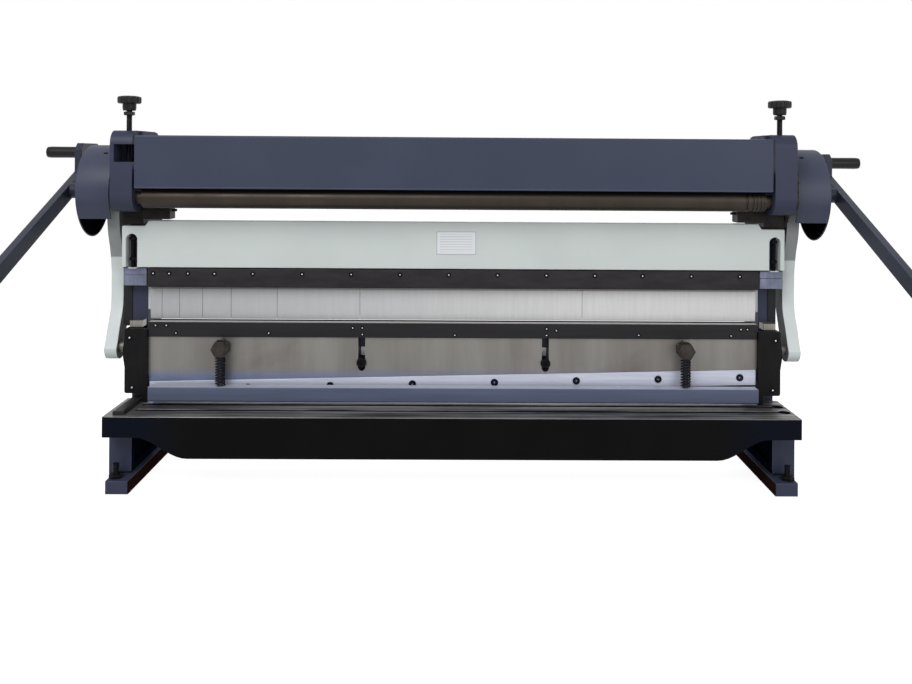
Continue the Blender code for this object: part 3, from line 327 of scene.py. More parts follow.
def vectorMath(tree, operation, first, second=(0, 0, 0)):
    return addNode(tree, "ShaderNodeVectorMath", {0: first, 1: second}, operation=operation).outputs


def noise(tree, spot, scale, detail, roughness=0.5, distortion=0.0):
    inputs = {"Vector": spot, "Scale": scale, "Detail": detail, "Roughness": roughness,
              "Distortion": distortion}
    return addNode(tree, "ShaderNodeTexNoise", inputs).outputs["Fac"]


def objectSpot(tree):
    return addNode(tree, "ShaderNodeTexCoord").outputs["Object"]


def objectPlace(tree):
    return addNode(tree, "ShaderNodeSeparateXYZ", {0: objectSpot(tree)}).outputs


def newGroup(name, inputs, outputs):
    tree = bpy.data.node_groups.new(name, "ShaderNodeTree")
    for label, kind, value in inputs:
        socket = tree.interface.new_socket(name=label, in_out="INPUT", socket_type=kind)
        socket.default_value = value
    for label, kind in outputs:
        tree.interface.new_socket(name=label, in_out="OUTPUT", socket_type=kind)
    return tree, tree.nodes.new("NodeGroupInput").outputs, tree.nodes.new("NodeGroupOutput").inputs


numberKind, vectorKind = "NodeSocketFloat", "NodeSocketVector"

# Paint and casting skin: a slow mottle, and the fine peel of sprayed paint as a height
skinGroup, given, sent = newGroup("paintSkin", [("Size", numberKind, 1.0)],
                                  [("Mottle", numberKind), ("Height", numberKind)])
sized = addNode(skinGroup, "ShaderNodeVectorMath", {0: objectSpot(skinGroup), "Scale": given["Size"]},
                operation="SCALE").outputs[0]
skinGroup.links.new(noise(skinGroup, sized, 7.0, 4.0), sent["Mottle"])
skinGroup.links.new(noise(skinGroup, sized, 520.0, 2.0), sent["Height"])

# Tool marks: long streaks, stretched by Along, with a finer set as the height
streakGroup, given, sent = newGroup("toolMarks", [("Along", vectorKind, (1, 1, 1)),
                                                  ("Fineness", numberKind, 200.0)],
                                    [("Streak", numberKind), ("Height", numberKind)])
drawn = vectorMath(streakGroup, "MULTIPLY", objectSpot(streakGroup), given["Along"])[0]
finer = times(streakGroup, given["Fineness"], 5.0, clamp=False)
streakGroup.links.new(noise(streakGroup, drawn, given["Fineness"], 5.0, 0.65), sent["Streak"])
streakGroup.links.new(noise(streakGroup, drawn, finer, 2.0), sent["Height"])

# Handling marks: irregular patches, more of them as Cut falls
grimeGroup, given, sent = newGroup("handling", [("Size", numberKind, 6.0), ("Cut", numberKind, 0.55),
                                                ("Blur", numberKind, 0.12)], [("Mask", numberKind)])
patch = noise(grimeGroup, objectSpot(grimeGroup), given["Size"], 6.0, 0.6, 0.4)
upper = calculated(grimeGroup, "ADD", given["Cut"], given["Blur"], clamp=False)
grimeGroup.links.new(ranged(grimeGroup, patch, given["Cut"], upper), sent["Mask"])


def newFinish(name, roughness, metallic=0.0, specular=0.5):
    finish = bpy.data.materials.new(name)
    finish.use_nodes = True
    shader = finish.node_tree.nodes["Principled BSDF"]
    for label, value in (("Roughness", roughness), ("Metallic", metallic), ("Specular IOR Level", specular)):
        shader.inputs[label].default_value = value
    return finish, finish.node_tree, shader


def effect(tree, group, **values):
    # The outputs of a shared effect with these inputs
    return addNode(tree, "ShaderNodeGroup", values, node_tree=group).outputs


def joined(tree, shader, tone, rough=None, height=None, strength=0.1, distance=0.0003):
    # Leads the colour, the roughness and the relief of a finish to its shader
    tree.links.new(tone, shader.inputs["Base Color"])
    if rough is not None:
        tree.links.new(rough, shader.inputs["Roughness"])
    if height is not None:
        relief = {"Height": height, "Strength": strength, "Distance": distance}
        bump = addNode(tree, "ShaderNodeBump", relief)
        tree.links.new(bump.outputs["Normal"], shader.inputs["Normal"])


def within(tree, spot, low, high):
    # 1 where the value lies between low and high
    return times(tree, calculated(tree, "GREATER_THAN", spot, low), below(tree, spot, high))


def sprayed(name, colour, darker, roughness, size=1.0, specular=0.5):
    # What every paint starts from: two close tones in slow clouds, dust in patches, orange peel
    finish, tree, shader = newFinish(name, roughness, specular=specular)
    skin = effect(tree, skinGroup, Size=size)
    dust = effect(tree, grimeGroup, Size=14.0, Cut=0.56, Blur=0.2)["Mask"]
    tone = mixed(tree, ranged(tree, skin["Mottle"], 0.35, 0.65), linear(*darker), linear(*colour))
    return finish, tree, shader, tone, dust, skin["Height"]


def paintFinish(name, colour, darker, roughness, peel=0.12, size=1.0, specular=0.5, paintedLight=()):
    # Each entry is painted light: painted shade, or with a share above 1 a painted highlight. It gives an
    # axis (X counts from the middle), where it starts, where it is full, and the share that the colour is
    # multiplied by there
    finish, tree, shader, tone, dust, skin = sprayed(name, colour, darker, roughness, size, specular)
    for axis, clear, full, share in paintedLight:
        spot = magnitude(tree, objectPlace(tree)[axis])
        tone = mixed(tree, ranged(tree, spot, clear, full), tone, (*[share] * 3, 1.0), "MULTIPLY")
    joined(tree, shader, tone, ranged(tree, dust, 0, 1, roughness, roughness + 0.09), skin, peel, 0.0004)
    return finish


def steelFinish(name, colour, darker, roughness, along, fineness, metallic=0.9, marksCut=0.55, depth=0.08,
                specular=0.5):
    # Machined steel: streaks along the cut, stain in patches, roughness that follows the streaks
    finish, tree, shader = newFinish(name, roughness, metallic, specular)
    cut = effect(tree, streakGroup, Along=along, Fineness=fineness)
    marks = effect(tree, grimeGroup, Size=9.0, Cut=marksCut, Blur=0.22)["Mask"]
    tone = mixed(tree, ranged(tree, cut["Streak"], 0.36, 0.66), linear(*darker), linear(*colour))
    tone = mixed(tree, times(tree, marks, 0.45), tone, linear(*darker))
    rough = ranged(tree, cut["Streak"], 0.3, 0.7, roughness + 0.08, roughness - 0.06)
    joined(tree, shader, tone, rough, cut["Height"], depth)
    return finish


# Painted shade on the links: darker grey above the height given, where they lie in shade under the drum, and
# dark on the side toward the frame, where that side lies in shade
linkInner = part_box("right_link")[0].x
linkPaintedShade = [("Z", 0.4655, 0.4675, 0.42), ("X", linkInner + 0.0010, linkInner + 0.0006, 0.2)]
slatePaint = paintFinish("slatePaint", (58, 63, 83), (53, 58, 77), 0.42, specular=0.3)
beamLipHighlight = ("Z", 0.6240, 0.6234, 2.0)     # a painted highlight along the lower edge of the guard beam
beamPaint = paintFinish("beamPaint", (58, 64, 84), (55, 61, 80), 0.45, specular=0.25,
                        paintedLight=[beamLipHighlight])
leverPaint = paintFinish("leverPaint", (50, 54, 70), (44, 48, 62), 0.45, specular=0.2)
palePaint = paintFinish("palePaint", (211, 219, 217), (206, 214, 212), 0.45, 0.05, specular=0.3)
linkPaint = paintFinish("linkPaint", (222, 229, 229), (216, 223, 223), 0.45, 0.05, specular=0.3,
                        paintedLight=linkPaintedShade)
stripAndStopPaint = paintFinish("stripAndStopPaint", (44, 46, 45), (30, 31, 32), 0.5, 0.1, specular=0.15)
plasticBlack = paintFinish("plasticBlack", (22, 20, 23), (16, 15, 18), 0.4, 0.2, 1.6, 0.22)
blackOxide = steelFinish("blackOxide", (42, 39, 42), (28, 26, 29), 0.5, (0.25, 1, 1), 60, 0.1, 0.6,
                         specular=0.22)
plateOxide = steelFinish("plateOxide", (19, 18, 20), (12, 11, 13), 0.45, (1, 1, 0.4), 60, 0.1, 0.6,
                         specular=0.12)
bladeSteel = steelFinish("bladeSteel", (204, 208, 222), (186, 190, 205), 0.45, (0.05, 1, 1), 110, 0.35)
rollSteel = steelFinish("rollSteel", (58, 51, 45), (53, 47, 42), 0.4, (0.3, 0.05, 0.05), 60, 0.75, 0.6,
                        depth=0.02, specular=0.3)
bracketSteel = steelFinish("bracketSteel", (128, 134, 156), (96, 101, 122), 0.42, (1, 1, 0.3), 50, 0.4)
plainSteel = steelFinish("plainSteel", (140, 136, 130), (116, 112, 108), 0.4, (1, 0.05, 0.05), 120)
gearSteel = steelFinish("gearSteel", (58, 55, 53), (38, 36, 35), 0.5, (1, 1, 1), 90, 0.5)
springSteel = steelFinish("springSteel", (26, 28, 40), (15, 16, 24), 0.4, (1, 1, 1), 300, 0.4, specular=0.3)
rodSteel = steelFinish("rodSteel", (58, 60, 68), (34, 35, 42), 0.4, (1, 1, 0.1), 120, 0.5)
screwBlack = steelFinish("screwBlack", (11, 11, 14), (7, 7, 9), 0.45, (1, 1, 1), 200, 0.1, specular=0.1)
boltBrown = steelFinish("boltBrown", (64, 59, 54), (36, 32, 30), 0.42, (1, 1, 1), 60, 0.4, 0.5, specular=0.3)
screwBlue = steelFinish("bladeScrewBlue", (17, 22, 40), (10, 13, 26), 0.4, (1, 1, 1), 200, 0.2,
                        specular=0.15)
bracketBlack = steelFinish("bracketBlack", (34, 30, 28), (16, 14, 13), 0.5, (1, 1, 1), 50, 0.2, 0.5,
                           specular=0.15)
# Near-white steel for painted highlights: the glints in the sockets and the ring on each jack screw; the
# slot pads use it too
glintSteel = steelFinish("glintSteel", (240, 241, 246), (220, 222, 230), 0.3, (1, 1, 1), 90, 0.2)

# Y is counted from the front of the fingers. skirt is the inner edge over the rear top quarter, and below
# the angle cut, in degrees, only the disc is left
drum = {"y": 0.040, "z": 0.610, "radius": 0.101, "wall": 0.003, "inner": 0.731, "outer": 0.802,
        "skirt": 0.7163, "cut": -34.4, "bore": 0.0172, "slotX": (0.748, 0.757), "slotZ": (0.6915, 0.6945),
        "columnAngle": 2.2, "bendRows": 6}
# What the table hides, darkened in the stand's paint: the pockets in the legs, in painted shade, and the
# inner sides of the feet
under = {"pocketX": 0.7005, "pocketZ": (0.0275, 0.1172), "legY": (-0.0862, 0.1005), "footX": 0.6612,
         "footTop": 0.0262}


def glossCoat(tree, shader, dull, dust, weight):
    # The gloss of the paint as a coat over a matt ground: none where it is dull, less where dust lies
    shader.inputs["Specular IOR Level"].default_value = 0.0
    shader.inputs["Coat Roughness"].default_value = 0.4
    dusty = ranged(tree, dust, 0, 1, weight, weight * 0.7)
    coat = times(tree, dusty, calculated(tree, "SUBTRACT", 1.0, dull))
    tree.links.new(coat, shader.inputs["Coat Weight"])


def drumFinish():
    # Slate paint with painted shade: the inside of the drum painted near black as its shade, and a dark slot
    # in the rim front and rear painted as the shade of an opening
    finish, tree, shader, tone, dust, skin = sprayed("drumPaint", (68, 73, 92), (60, 65, 84), 0.4)
    fromAxis = vectorMath(tree, "SUBTRACT", objectSpot(tree), (0, datumY + drum["y"], drum["z"]))[0]
    flat = vectorMath(tree, "MULTIPLY", fromAxis, (0, 1, 1))[0]
    radius = vectorMath(tree, "LENGTH", flat)["Value"]
    place, step = objectPlace(tree), drum["wall"] * 0.8
    across = magnitude(tree, place["X"])
    inside = times(tree, below(tree, radius, drum["radius"] - step),
                   below(tree, across, drum["outer"] - step))
    slot = times(tree, within(tree, across, *drum["slotX"]), within(tree, place["Z"], *drum["slotZ"]))
    drumShade = calculated(tree, "MAXIMUM", inside, slot)
    # Painted shade: near black inside the drum and in the slot
    joined(tree, shader, mixed(tree, drumShade, tone, linear(12, 12, 15)), None, skin, 0.12, 0.0004)
    glossCoat(tree, shader, drumShade, dust, 0.5)
    return finish


def standFinish():
    # Slate paint; the pockets under the table are painted dark navy as painted shade, and the feet's inner
    # sides are painted a darker brown
    finish, tree, shader, tone, dust, skin = sprayed("standPaint", (58, 63, 83), (53, 58, 77), 0.42)
    place = objectPlace(tree)
    across = magnitude(tree, place["X"])
    pocketShade = times(tree, below(tree, across, under["pocketX"]), within(tree, place["Z"], *under["pocketZ"]))
    pocketShade = times(tree, pocketShade, within(tree, place["Y"], *[datumY + y for y in under["legY"]]))
    foot = times(tree, below(tree, across, under["footX"]), below(tree, place["Z"], under["footTop"]))
    # Painted shade: dark navy in the leg pockets under the table; darker brown on the feet's inner sides
    tone = mixed(tree, foot, mixed(tree, pocketShade, tone, linear(17, 21, 36)), linear(44, 29, 28))
    joined(tree, shader, tone, None, skin, 0.12, 0.0004)
    glossCoat(tree, shader, calculated(tree, "MAXIMUM", pocketShade, foot), dust, 0.35)
    return finish


topLight = {"starts": 0.0006, "full": 0.0002}     # how far under the top side the painted highlight comes in


def topLitSteel(name, face, darker, top, height, metallic=0.3):
    # A drawn bar whose top side, at that height, is lighter: a painted highlight where the top catches the
    # light
    finish, tree, shader = newFinish(name, 0.48, metallic, 0.25)
    cut = effect(tree, streakGroup, Along=(0.05, 1, 1), Fineness=70.0)
    tone = mixed(tree, ranged(tree, cut["Streak"], 0.36, 0.66), linear(*darker), linear(*face))
    bright = ranged(tree, objectPlace(tree)["Z"], height - topLight["starts"], height - topLight["full"])
    rough = ranged(tree, cut["Streak"], 0.3, 0.7, 0.54, 0.42)
    joined(tree, shader, mixed(tree, bright, tone, linear(*top)), rough, cut["Height"], 0.08)
    return finish


tableBands = {"bareFrom": (0.15925, 0.15945), "leftEnd": (-0.62, -0.69), "front": (0.0, -0.0115),
             "navyEnds": (0.55, 0.63)}
cooler = (0.232, 0.212)     # heights between which the carriage turns bluish
fingerTones = {"darkerEnd": (-0.66, 0.3), "stripShadowFrom": (0.3975, 0.4000)}


def carriageFinish():
    # Ground plate with vertical smudges, bluish toward its lower edge
    finish, tree, shader = newFinish("carriageSteel", 0.42, 0.6)
    cut = effect(tree, streakGroup, Along=(1, 1, 0.12), Fineness=11.0)
    fine = effect(tree, streakGroup, Along=(0.04, 1, 1), Fineness=240.0)
    marks = effect(tree, grimeGroup, Size=5.0, Cut=0.5, Blur=0.25)["Mask"]
    warm = mixed(tree, ranged(tree, cut["Streak"], 0.38, 0.66), linear(116, 113, 109), linear(130, 128, 125))
    cool = mixed(tree, ranged(tree, objectPlace(tree)["Z"], *cooler), warm, linear(104, 114, 142))
    stained = mixed(tree, times(tree, marks, 0.6), cool, linear(88, 80, 74))
    joined(tree, shader, stained, ranged(tree, cut["Streak"], 0.3, 0.7, 0.5, 0.36), fine["Height"], 0.08)
    return finish


def tableFinish():
    # Black painted casting whose top is machined: bare streaky iron above the painted edge, brighter
    # at the left end and along the front, and the paint turns navy toward both ends
    finish, tree, shader = newFinish("tableIron", 0.4, specular=0.05)
    place = objectPlace(tree)
    cut = effect(tree, streakGroup, Along=(0.035, 1, 1), Fineness=75.0)
    skin = effect(tree, skinGroup, Size=1.3)
    marks = effect(tree, grimeGroup, Size=4.0, Cut=0.46, Blur=0.2)["Mask"]
    bare = mixed(tree, ranged(tree, cut["Streak"], 0.40, 0.62), linear(62, 62, 65), linear(166, 165, 164))
    oiled = mixed(tree, times(tree, marks, 0.5), bare, linear(52, 51, 53))
    leftEnd = ranged(tree, place["X"], *tableBands["leftEnd"])
    front = ranged(tree, place["Y"], *tableBands["front"])
    # The bare top is lighter toward the left end and along the front edge
    brightened = times(tree, calculated(tree, "MAXIMUM", leftEnd, front), 0.55)
    edge = mixed(tree, brightened, oiled, linear(158, 156, 152))
    paint = mixed(tree, ranged(tree, skin["Mottle"], 0.35, 0.65), linear(7, 7, 8), linear(11, 11, 12))
    ends = ranged(tree, magnitude(tree, place["X"]), *tableBands["navyEnds"], 0.0, 0.8)
    paint = mixed(tree, ends, paint, linear(9, 13, 27))
    top = ranged(tree, place["Z"], *tableBands["bareFrom"])
    tree.links.new(times(tree, top, 0.75), shader.inputs["Metallic"])
    rough = ranged(tree, cut["Streak"], 0.3, 0.7, 0.52, 0.34)
    joined(tree, shader, mixed(tree, top, paint, edge), rough, cut["Height"])
    return finish


def fingerFinish():
    # Pale ground fingers, a little darker toward the left end, with a painted shadow of the clamp strip in a
    # band under it
    finish, tree, shader = newFinish("fingerSteel", 0.5, 0.25)
    place = objectPlace(tree)
    cut = effect(tree, streakGroup, Along=(1, 1, 0.08), Fineness=160.0)
    across = mixed(tree, ranged(tree, place["X"], *fingerTones["darkerEnd"]), linear(172, 174, 177),
                   linear(212, 212, 212))
    tone = mixed(tree, ranged(tree, cut["Streak"], 0.3, 0.7, 0.0, 0.16), across, linear(140, 140, 143))
    # Painted shadow of the clamp strip along the fingers' tops
    stripShadow = ranged(tree, place["Z"], *fingerTones["stripShadowFrom"], 0.0, 0.7)
    joined(tree, shader, mixed(tree, stripShadow, tone, linear(86, 80, 80)), None, cut["Height"], 0.06)
    return finish


carriageSteel, tableIron, fingerSteel = carriageFinish(), tableFinish(), fingerFinish()
drumPaint, standPaint = drumFinish(), standFinish()
barTop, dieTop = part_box("hold_down_bar")[1].z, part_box("v_die_bar")[1].z
# The last colour is a painted highlight on the top side of the bar and of the die
barSteel = topLitSteel("barSteel", (92, 99, 122), (82, 89, 112), (186, 190, 204), barTop)
dieSteel = topLitSteel("dieSteel", (25, 23, 26), (16, 15, 18), (176, 175, 174), dieTop, metallic=0.1)
print("finishes made")

# The fixed stand
boss = {"face": 0.663, "root": 0.670, "inner": 0.650, "low": 0.680, "front": -0.044, "back": -0.024,
        "margin": 0.0005}
guardHalf = 0.6655


def slimBoss(places):
    # The boss inside each head keeps its root and front, and its face and back are drawn in
    x, y, z = places.T
    onBoss = (np.abs(x) < boss["root"] - boss["margin"]) & (z > boss["low"])
    rise = (np.abs(x) - boss["inner"]) / (boss["root"] - boss["inner"])
    x[onBoss] = (np.sign(x) * (boss["face"] + rise * (boss["root"] - boss["face"])))[onBoss]
    back = (y - datumY - boss["front"]) / -boss["front"]
    y[onBoss] = (datumY + boss["front"] + back * (boss["back"] - boss["front"]))[onBoss]
    return np.stack([x, y, z], -1)


def shortened(low, high):
    # Draws the ends of a bar in to these places along X
    def drawnIn(places):
        places[:, 0] = np.clip(places[:, 0], low, high)
        return places
    return drawnIn


for word, side in bothSides:
    softened(word + "_side_frame", 0.0026, standPaint, 3, moved=slimBoss)
    softened(word + "_guide_plate", 0.0009, plateOxide)
    softened(word + "_adjuster_bracket", 0.0008, bracketSteel)
softened("work_table", 0.0009, tableIron)
softened("lower_shear_blade", 0.0004, bladeSteel)
softened("side_gauge", 0.0006, blackOxide)
softened("rear_tie_beam", 0.0010, slatePaint)
softened("roll_guard_beam", 0.0012, beamPaint, moved=shortened(-guardHalf, guardHalf))

# Dark strips beside the columns, standing in as painted shade for the shaded inner sides of the links, caps
# on the guides, a bar behind the blades, blocks under the heads
shadeStrip = {"left": (0.7035, 0.7215), "right": (0.691, 0.709), "y": (0.0128, 0.030), "z": (0.316, 0.4065)}
cap = {"x": (0.672, 0.6985), "y": (-0.018, 0.0145), "z": (0.318, 0.3325)}
stop = {"x": (-0.6712, 0.6712), "y": (0.100, 0.108), "z": (0.118, 0.178)}
neck = {"x": (0.6705, 0.716), "y": (-0.020, -0.0005), "z": (0.5405, 0.5705), "edge": 0.0015}


def block(name, xs, ys, zs, finish, edge=0.0008):
    # A box on the stand with soft edges, from its limits along X, and machine Y and Z
    outline = [(datumY + ys[i], zs[j]) for i, j in ((0, 0), (1, 0), (1, 1), (0, 1))]
    roundEdges(newPiece(name, slab(outline, *xs), finish, "frame_body"), edge)


def mirrored(side, values):
    return [side * value for value in values]


for word, side in bothSides:
    # Painted shade: a dark strip where the link's inner side lies in shade
    block(word + "_post", mirrored(side, shadeStrip[word]), shadeStrip["y"], shadeStrip["z"], stripAndStopPaint)
    block(word + "_guide_cap", mirrored(side, cap["x"]), cap["y"], cap["z"], plainSteel)
block("back_stop", stop["x"], stop["y"], stop["z"], stripAndStopPaint)
for word, side in bothSides:
    block(word + "_neck_block", mirrored(side, neck["x"]), neck["y"], neck["z"], bracketBlack,
          neck["edge"])


def drumShape(side):
    # Columns go round the axis, and each starts where its stretch of the rim does: at the head over the rear
    # top quarter, at the inner edge elsewhere, and at the disc itself below the cut
    face = drum["outer"] - drum["wall"]
    cut, inner = drum["cut"], drum["inner"]
    stretches = ((cut, 0, inner), (0, 90, drum["skirt"]), (90, 180 - cut, inner),
                 (180 - cut, 360 + cut, face))
    turns = [np.linspace(first, last, int((last - first) / drum["columnAngle"]) + 2)
             for first, last, start in stretches]
    angle = np.radians(np.concatenate(turns))
    start = np.concatenate([np.full(len(turn), stretch[2]) for turn, stretch in zip(turns, stretches)])
    bend = np.linspace(0, np.pi / 2, drum["bendRows"])
    wall, bore = drum["wall"], drum["bore"]
    inside = drum["radius"] - wall
    radius = [inside, drum["radius"], *(inside + wall * np.cos(bend)), bore, bore, inside]
    along = [start, start, *(face + wall * np.sin(bend)), drum["outer"], face, face]
    x = np.stack([a + 0 * angle for a in along]) * side
    r = np.array(radius)[:, None]
    points = np.stack([x, datumY + drum["y"] + r * np.cos(angle), drum["z"] + r * np.sin(angle)], -1)
    return points, gridFaces(len(radius), len(angle), closeRows=True)


for word, side in bothSides:
    newPiece(word + "_drum", drumShape(side), drumPaint, "frame_body", sharpAngle=30,
             stands=[word + "_gear_guard"])

guideScrew = {"places": ((0.6945, 0.298), (0.689, 0.191)), "radius": 0.0066, "high": 0.0012,
              "socket": 0.0031, "glint": 0.0019}
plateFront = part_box("left_guide_plate")[0].y


def screwRow(name, screw, spots, body, finish=screwBlack):
    # Socket screws at these spots, with a painted highlight in each socket
    head = screwHead(screw["radius"], screw["high"], screw["socket"])
    newPiece(name + "_screws", repeated(head, spots), finish, body)
    glint = socketGlint(screw["glint"], screw["high"])
    newPiece(name + "_glints", repeated(glint, spots), glintSteel, body)


for word, side in bothSides:
    spots = [(side * x, plateFront, z) for x, z in guideScrew["places"]]
    screwRow(word + "_guide_plate", guideScrew, spots, "frame_body")

guideHead = {"back": -0.0203, "radius": 0.0105, "socket": 0.0050, "shank": 0.005, "sunk": 0.0004}
for word, side in bothSides:
    low, high, (x, y, z) = boxed(word + "_guide_bolt")
    back, thick = datumY + guideHead["back"], guideHead["shank"]
    points, faces = screwHead(guideHead["radius"], back - low.y, guideHead["socket"])
    shank = turned([(0, back - guideHead["sunk"]), (thick, back), (thick, high.y), (0, high.y)], "Y",
                   (x, 0, z), 24)
    bolt = merged([(points + np.array((x, back, z)), faces), shank])
    newPiece(word + "_guide_bolt_socket", bolt, screwBlack, "frame_body",
             stands=[word + "_guide_bolt"])
print("stand done")

# Jack screws in the open ends of the beam, and the studs of the feet
jack = {"radius": 0.0045, "pitch": 0.0018, "flats": 0.014, "hexLow": (0.462, 0.506), "hexHigh": 0.007,
        "chamfer": 0.0014, "glintRing": 0.0115, "glintRingLow": 0.4453, "glintRingHigh": 0.4466}
stud = {"x": 0.692, "y": (-0.115, 0.158), "foot": 0.0268, "nutHigh": 0.0090, "flats": 0.0244, "top": 0.0568,
        "radius": 0.0066, "pitch": 0.0016, "chamfer": 0.0016}


# Shares of half the flats, of the corners' radius and of the chamfer
nutShape = {"end": 0.96, "shoulder": 0.985, "rise": 0.6}


def hexagonNut(low, high, flats, chamfer, axis, centre, bore=0.0):
    # A hexagon trimmed to a circle at both ends, which gives the curved chamfer of a nut
    full = flats / 2 / math.cos(math.pi / 6)
    small, shoulder = flats / 2 * nutShape["end"], full * nutShape["shoulder"]
    rise = chamfer * nutShape["rise"]
    rows = [(bore, low), (small, low), (shoulder, low + rise), (full, low + chamfer),
            (full, high - chamfer), (shoulder, high - rise), (small, high), (bore, high)]
    if bore:
        rows.append((bore, low))
    return turned(rows, axis, centre, flats=flats)


for word, side in bothSides:
    low, high, (x, y, z) = boxed(word + "_jack_screw")
    parts = [threaded(low.z, high.z, jack["radius"], jack["pitch"], (x, y, 0))]
    for base in jack["hexLow"]:
        top = base + jack["hexHigh"]
        parts.append(hexagonNut(base, top, jack["flats"], jack["chamfer"], "Z", (x, y, 0)))
    newPiece(word + "_jack_screw_thread", merged(parts), screwBlack, "frame_body",
             stands=[word + "_jack_screw"])
    # A thin bright ring on top of the bracket stands for the highlight on the chamfer round the screw: a
    # painted highlight
    bore, rim, base, top = (jack[key] for key in ("radius", "glintRing", "glintRingLow", "glintRingHigh"))
    glintRing = turned([(bore, base), (rim, base), (rim, top), (bore, top), (bore, base)], "Z", (x, y, 0), 40)
    newPiece(word + "_jack_glint_ring", glintRing, glintSteel, "frame_body")
for word, side in bothSides:
    parts = []
    for y in stud["y"]:
        spot, nutTop = (side * stud["x"], datumY + y, 0), stud["foot"] + stud["nutHigh"]
        parts.append(hexagonNut(stud["foot"], nutTop, stud["flats"], stud["chamfer"], "Z", spot))
        parts.append(threaded(stud["foot"], stud["top"], stud["radius"], stud["pitch"], spot))
    newPiece(word + "_foot_studs", merged(parts), screwBlack, "frame_body")
print("jack screws done")

# The upper beam with its clamp strip and fingers
softened("upper_beam", 0.0010, palePaint)
softened("beam_backing_bar", 0.0008, palePaint)
softened("clamp_strip", 0.0008, blackOxide)
for count in range(1, 9):
    softened(f"finger_{count}", 0.0004, fingerSteel)

stripScrew = {"x": (-0.6476, -0.6133, -0.573, -0.516, -0.4335, -0.3276, -0.222, -0.1167, -0.0114, 0.094,
                    0.1994, 0.3043, 0.4076, 0.5134, 0.6183),
              "z": 0.435, "radius": 0.0052, "high": 0.0010, "socket": 0.0024, "glint": 0.0016}
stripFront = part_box("clamp_strip")[0].y
screwRow("clamp_strip", stripScrew, [(x, stripFront, stripScrew["z"]) for x in stripScrew["x"]], "beam_body")

rating = {"x": (-0.0385, 0.0470), "z": (0.4790, 0.5290), "thick": 0.0008, "frame": 0.0016, "pitch": 0.0055,
          "marginX": 0.006, "marginZ": 0.004, "corner": 0.002}
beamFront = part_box("upper_beam")[0].y


def plateGrid(xs, zs, front, back, corner, steps=6):
    # A rounded rectangle seen from the front: two outlines joined by a rim, closed by a point on each face
    angles = np.linspace(0, np.pi / 2, steps)
    outline = []
    for cx, cz, start in ((xs[1] - corner, zs[1] - corner, 0), (xs[0] + corner, zs[1] - corner, 1),
                          (xs[0] + corner, zs[0] + corner, 2), (xs[1] - corner, zs[0] + corner, 3)):
        turn = angles + start * np.pi / 2
        outline.append(np.stack([cx + corner * np.cos(turn), cz + corner * np.sin(turn)], -1))
    outline = np.vstack(outline)
    middle = np.array([[(xs[0] + xs[1]) / 2, (zs[0] + zs[1]) / 2]]).repeat(len(outline), 0)
    rows = [np.insert(line, 1, depth, axis=1) for line, depth in
            ((middle, front), (outline, front), (outline, back), (middle, back))]
    return np.stack(rows), gridFaces(4, len(outline))


def ratingFinish():
    # Pale plate with a thin grey frame and faint ruled rows, left without lettering
    finish, tree, shader = newFinish("ratingPlate", 0.45, 0.1)
    place = objectPlace(tree)
    off, half = {}, {}
    for axis, (low, high) in (("X", rating["x"]), ("Z", rating["z"])):
        fromMiddle = calculated(tree, "SUBTRACT", place[axis], (low + high) / 2, clamp=False)
        off[axis], half[axis] = magnitude(tree, fromMiddle), (high - low) / 2 - rating["frame"]
    field = times(tree, below(tree, off["X"], half["X"]), below(tree, off["Z"], half["Z"]))
    inner = times(tree, below(tree, off["X"], half["X"] - rating["marginX"]),
                  below(tree, off["Z"], half["Z"] - rating["marginZ"]))
    rows = calculated(tree, "FRACT", times(tree, place["Z"], 1 / rating["pitch"], clamp=False))
    ruled = times(tree, below(tree, rows, 0.3), times(tree, inner, 0.5))
    pale = mixed(tree, ruled, linear(226, 230, 233), linear(168, 175, 184))
    marks = effect(tree, grimeGroup, Size=60.0, Cut=0.5, Blur=0.3)["Mask"]
    joined(tree, shader, mixed(tree, field, linear(178, 184, 190), pale),
           ranged(tree, marks, 0, 1, 0.34, 0.5))
    return finish


plate = plateGrid(rating["x"], rating["z"], beamFront - rating["thick"], beamFront, rating["corner"])
newPiece("rating_plate", plate, ratingFinish(), "beam_body")
print("upper beam done")

# The carriage with blade, vee die and eye bolts, and the bright pads seen through its slots
softened("carriage", 0.0008, carriageSteel)
softened("upper_shear_blade", 0.0005, bladeSteel)
softened("v_die_bar", 0.0005, dieSteel)

# The spots are picture coordinates, which the camera's sight lines carry to the front of the bar
dieScrew = {"radius": 0.0042, "high": 0.0008, "socket": 0.0018, "glint": 0.0015,
            "spots": ((155.5, 325.4), (166.4, 325.4), (175.9, 333), (268.7, 333.3), (352.7, 328),
                      (362.3, 328), (362.3, 334.5), (454.8, 335.3), (546.6, 329), (546.6, 335.5),
                      (556.4, 330.7), (638.8, 335.3), (731.1, 336), (741, 329.6), (747.5, 329.6))}
# The camera: size, focal length and middle of the picture in its own points, then metres and radians
view = {"picture": (912, 684), "focal": 950.0, "middle": (464.0, 157.0), "high": 0.690, "back": 2.073,
        "yaw": math.radians(0.548), "roll": math.radians(0.386)}


def sightPlace(spot, depth):
    # The point where the sight line of a picture place meets the upright plane at that depth
    dx, dy = spot[0] - view["middle"][0], spot[1] - view["middle"][1]
    yaw, roll = view["yaw"], view["roll"]
    across = (dx * math.cos(roll) + dy * math.sin(roll)) / view["focal"]
    down = (dy * math.cos(roll) - dx * math.sin(roll)) / view["focal"]
    forward = (depth - datumY + view["back"]) / (math.cos(yaw) - across * math.sin(yaw))
    return forward * (across * math.cos(yaw) + math.sin(yaw)), depth, view["high"] - down * forward


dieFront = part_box("v_die_bar")[0].y
screwRow("v_die", dieScrew, [sightPlace(spot, dieFront) for spot in dieScrew["spots"]], "carriage_body")

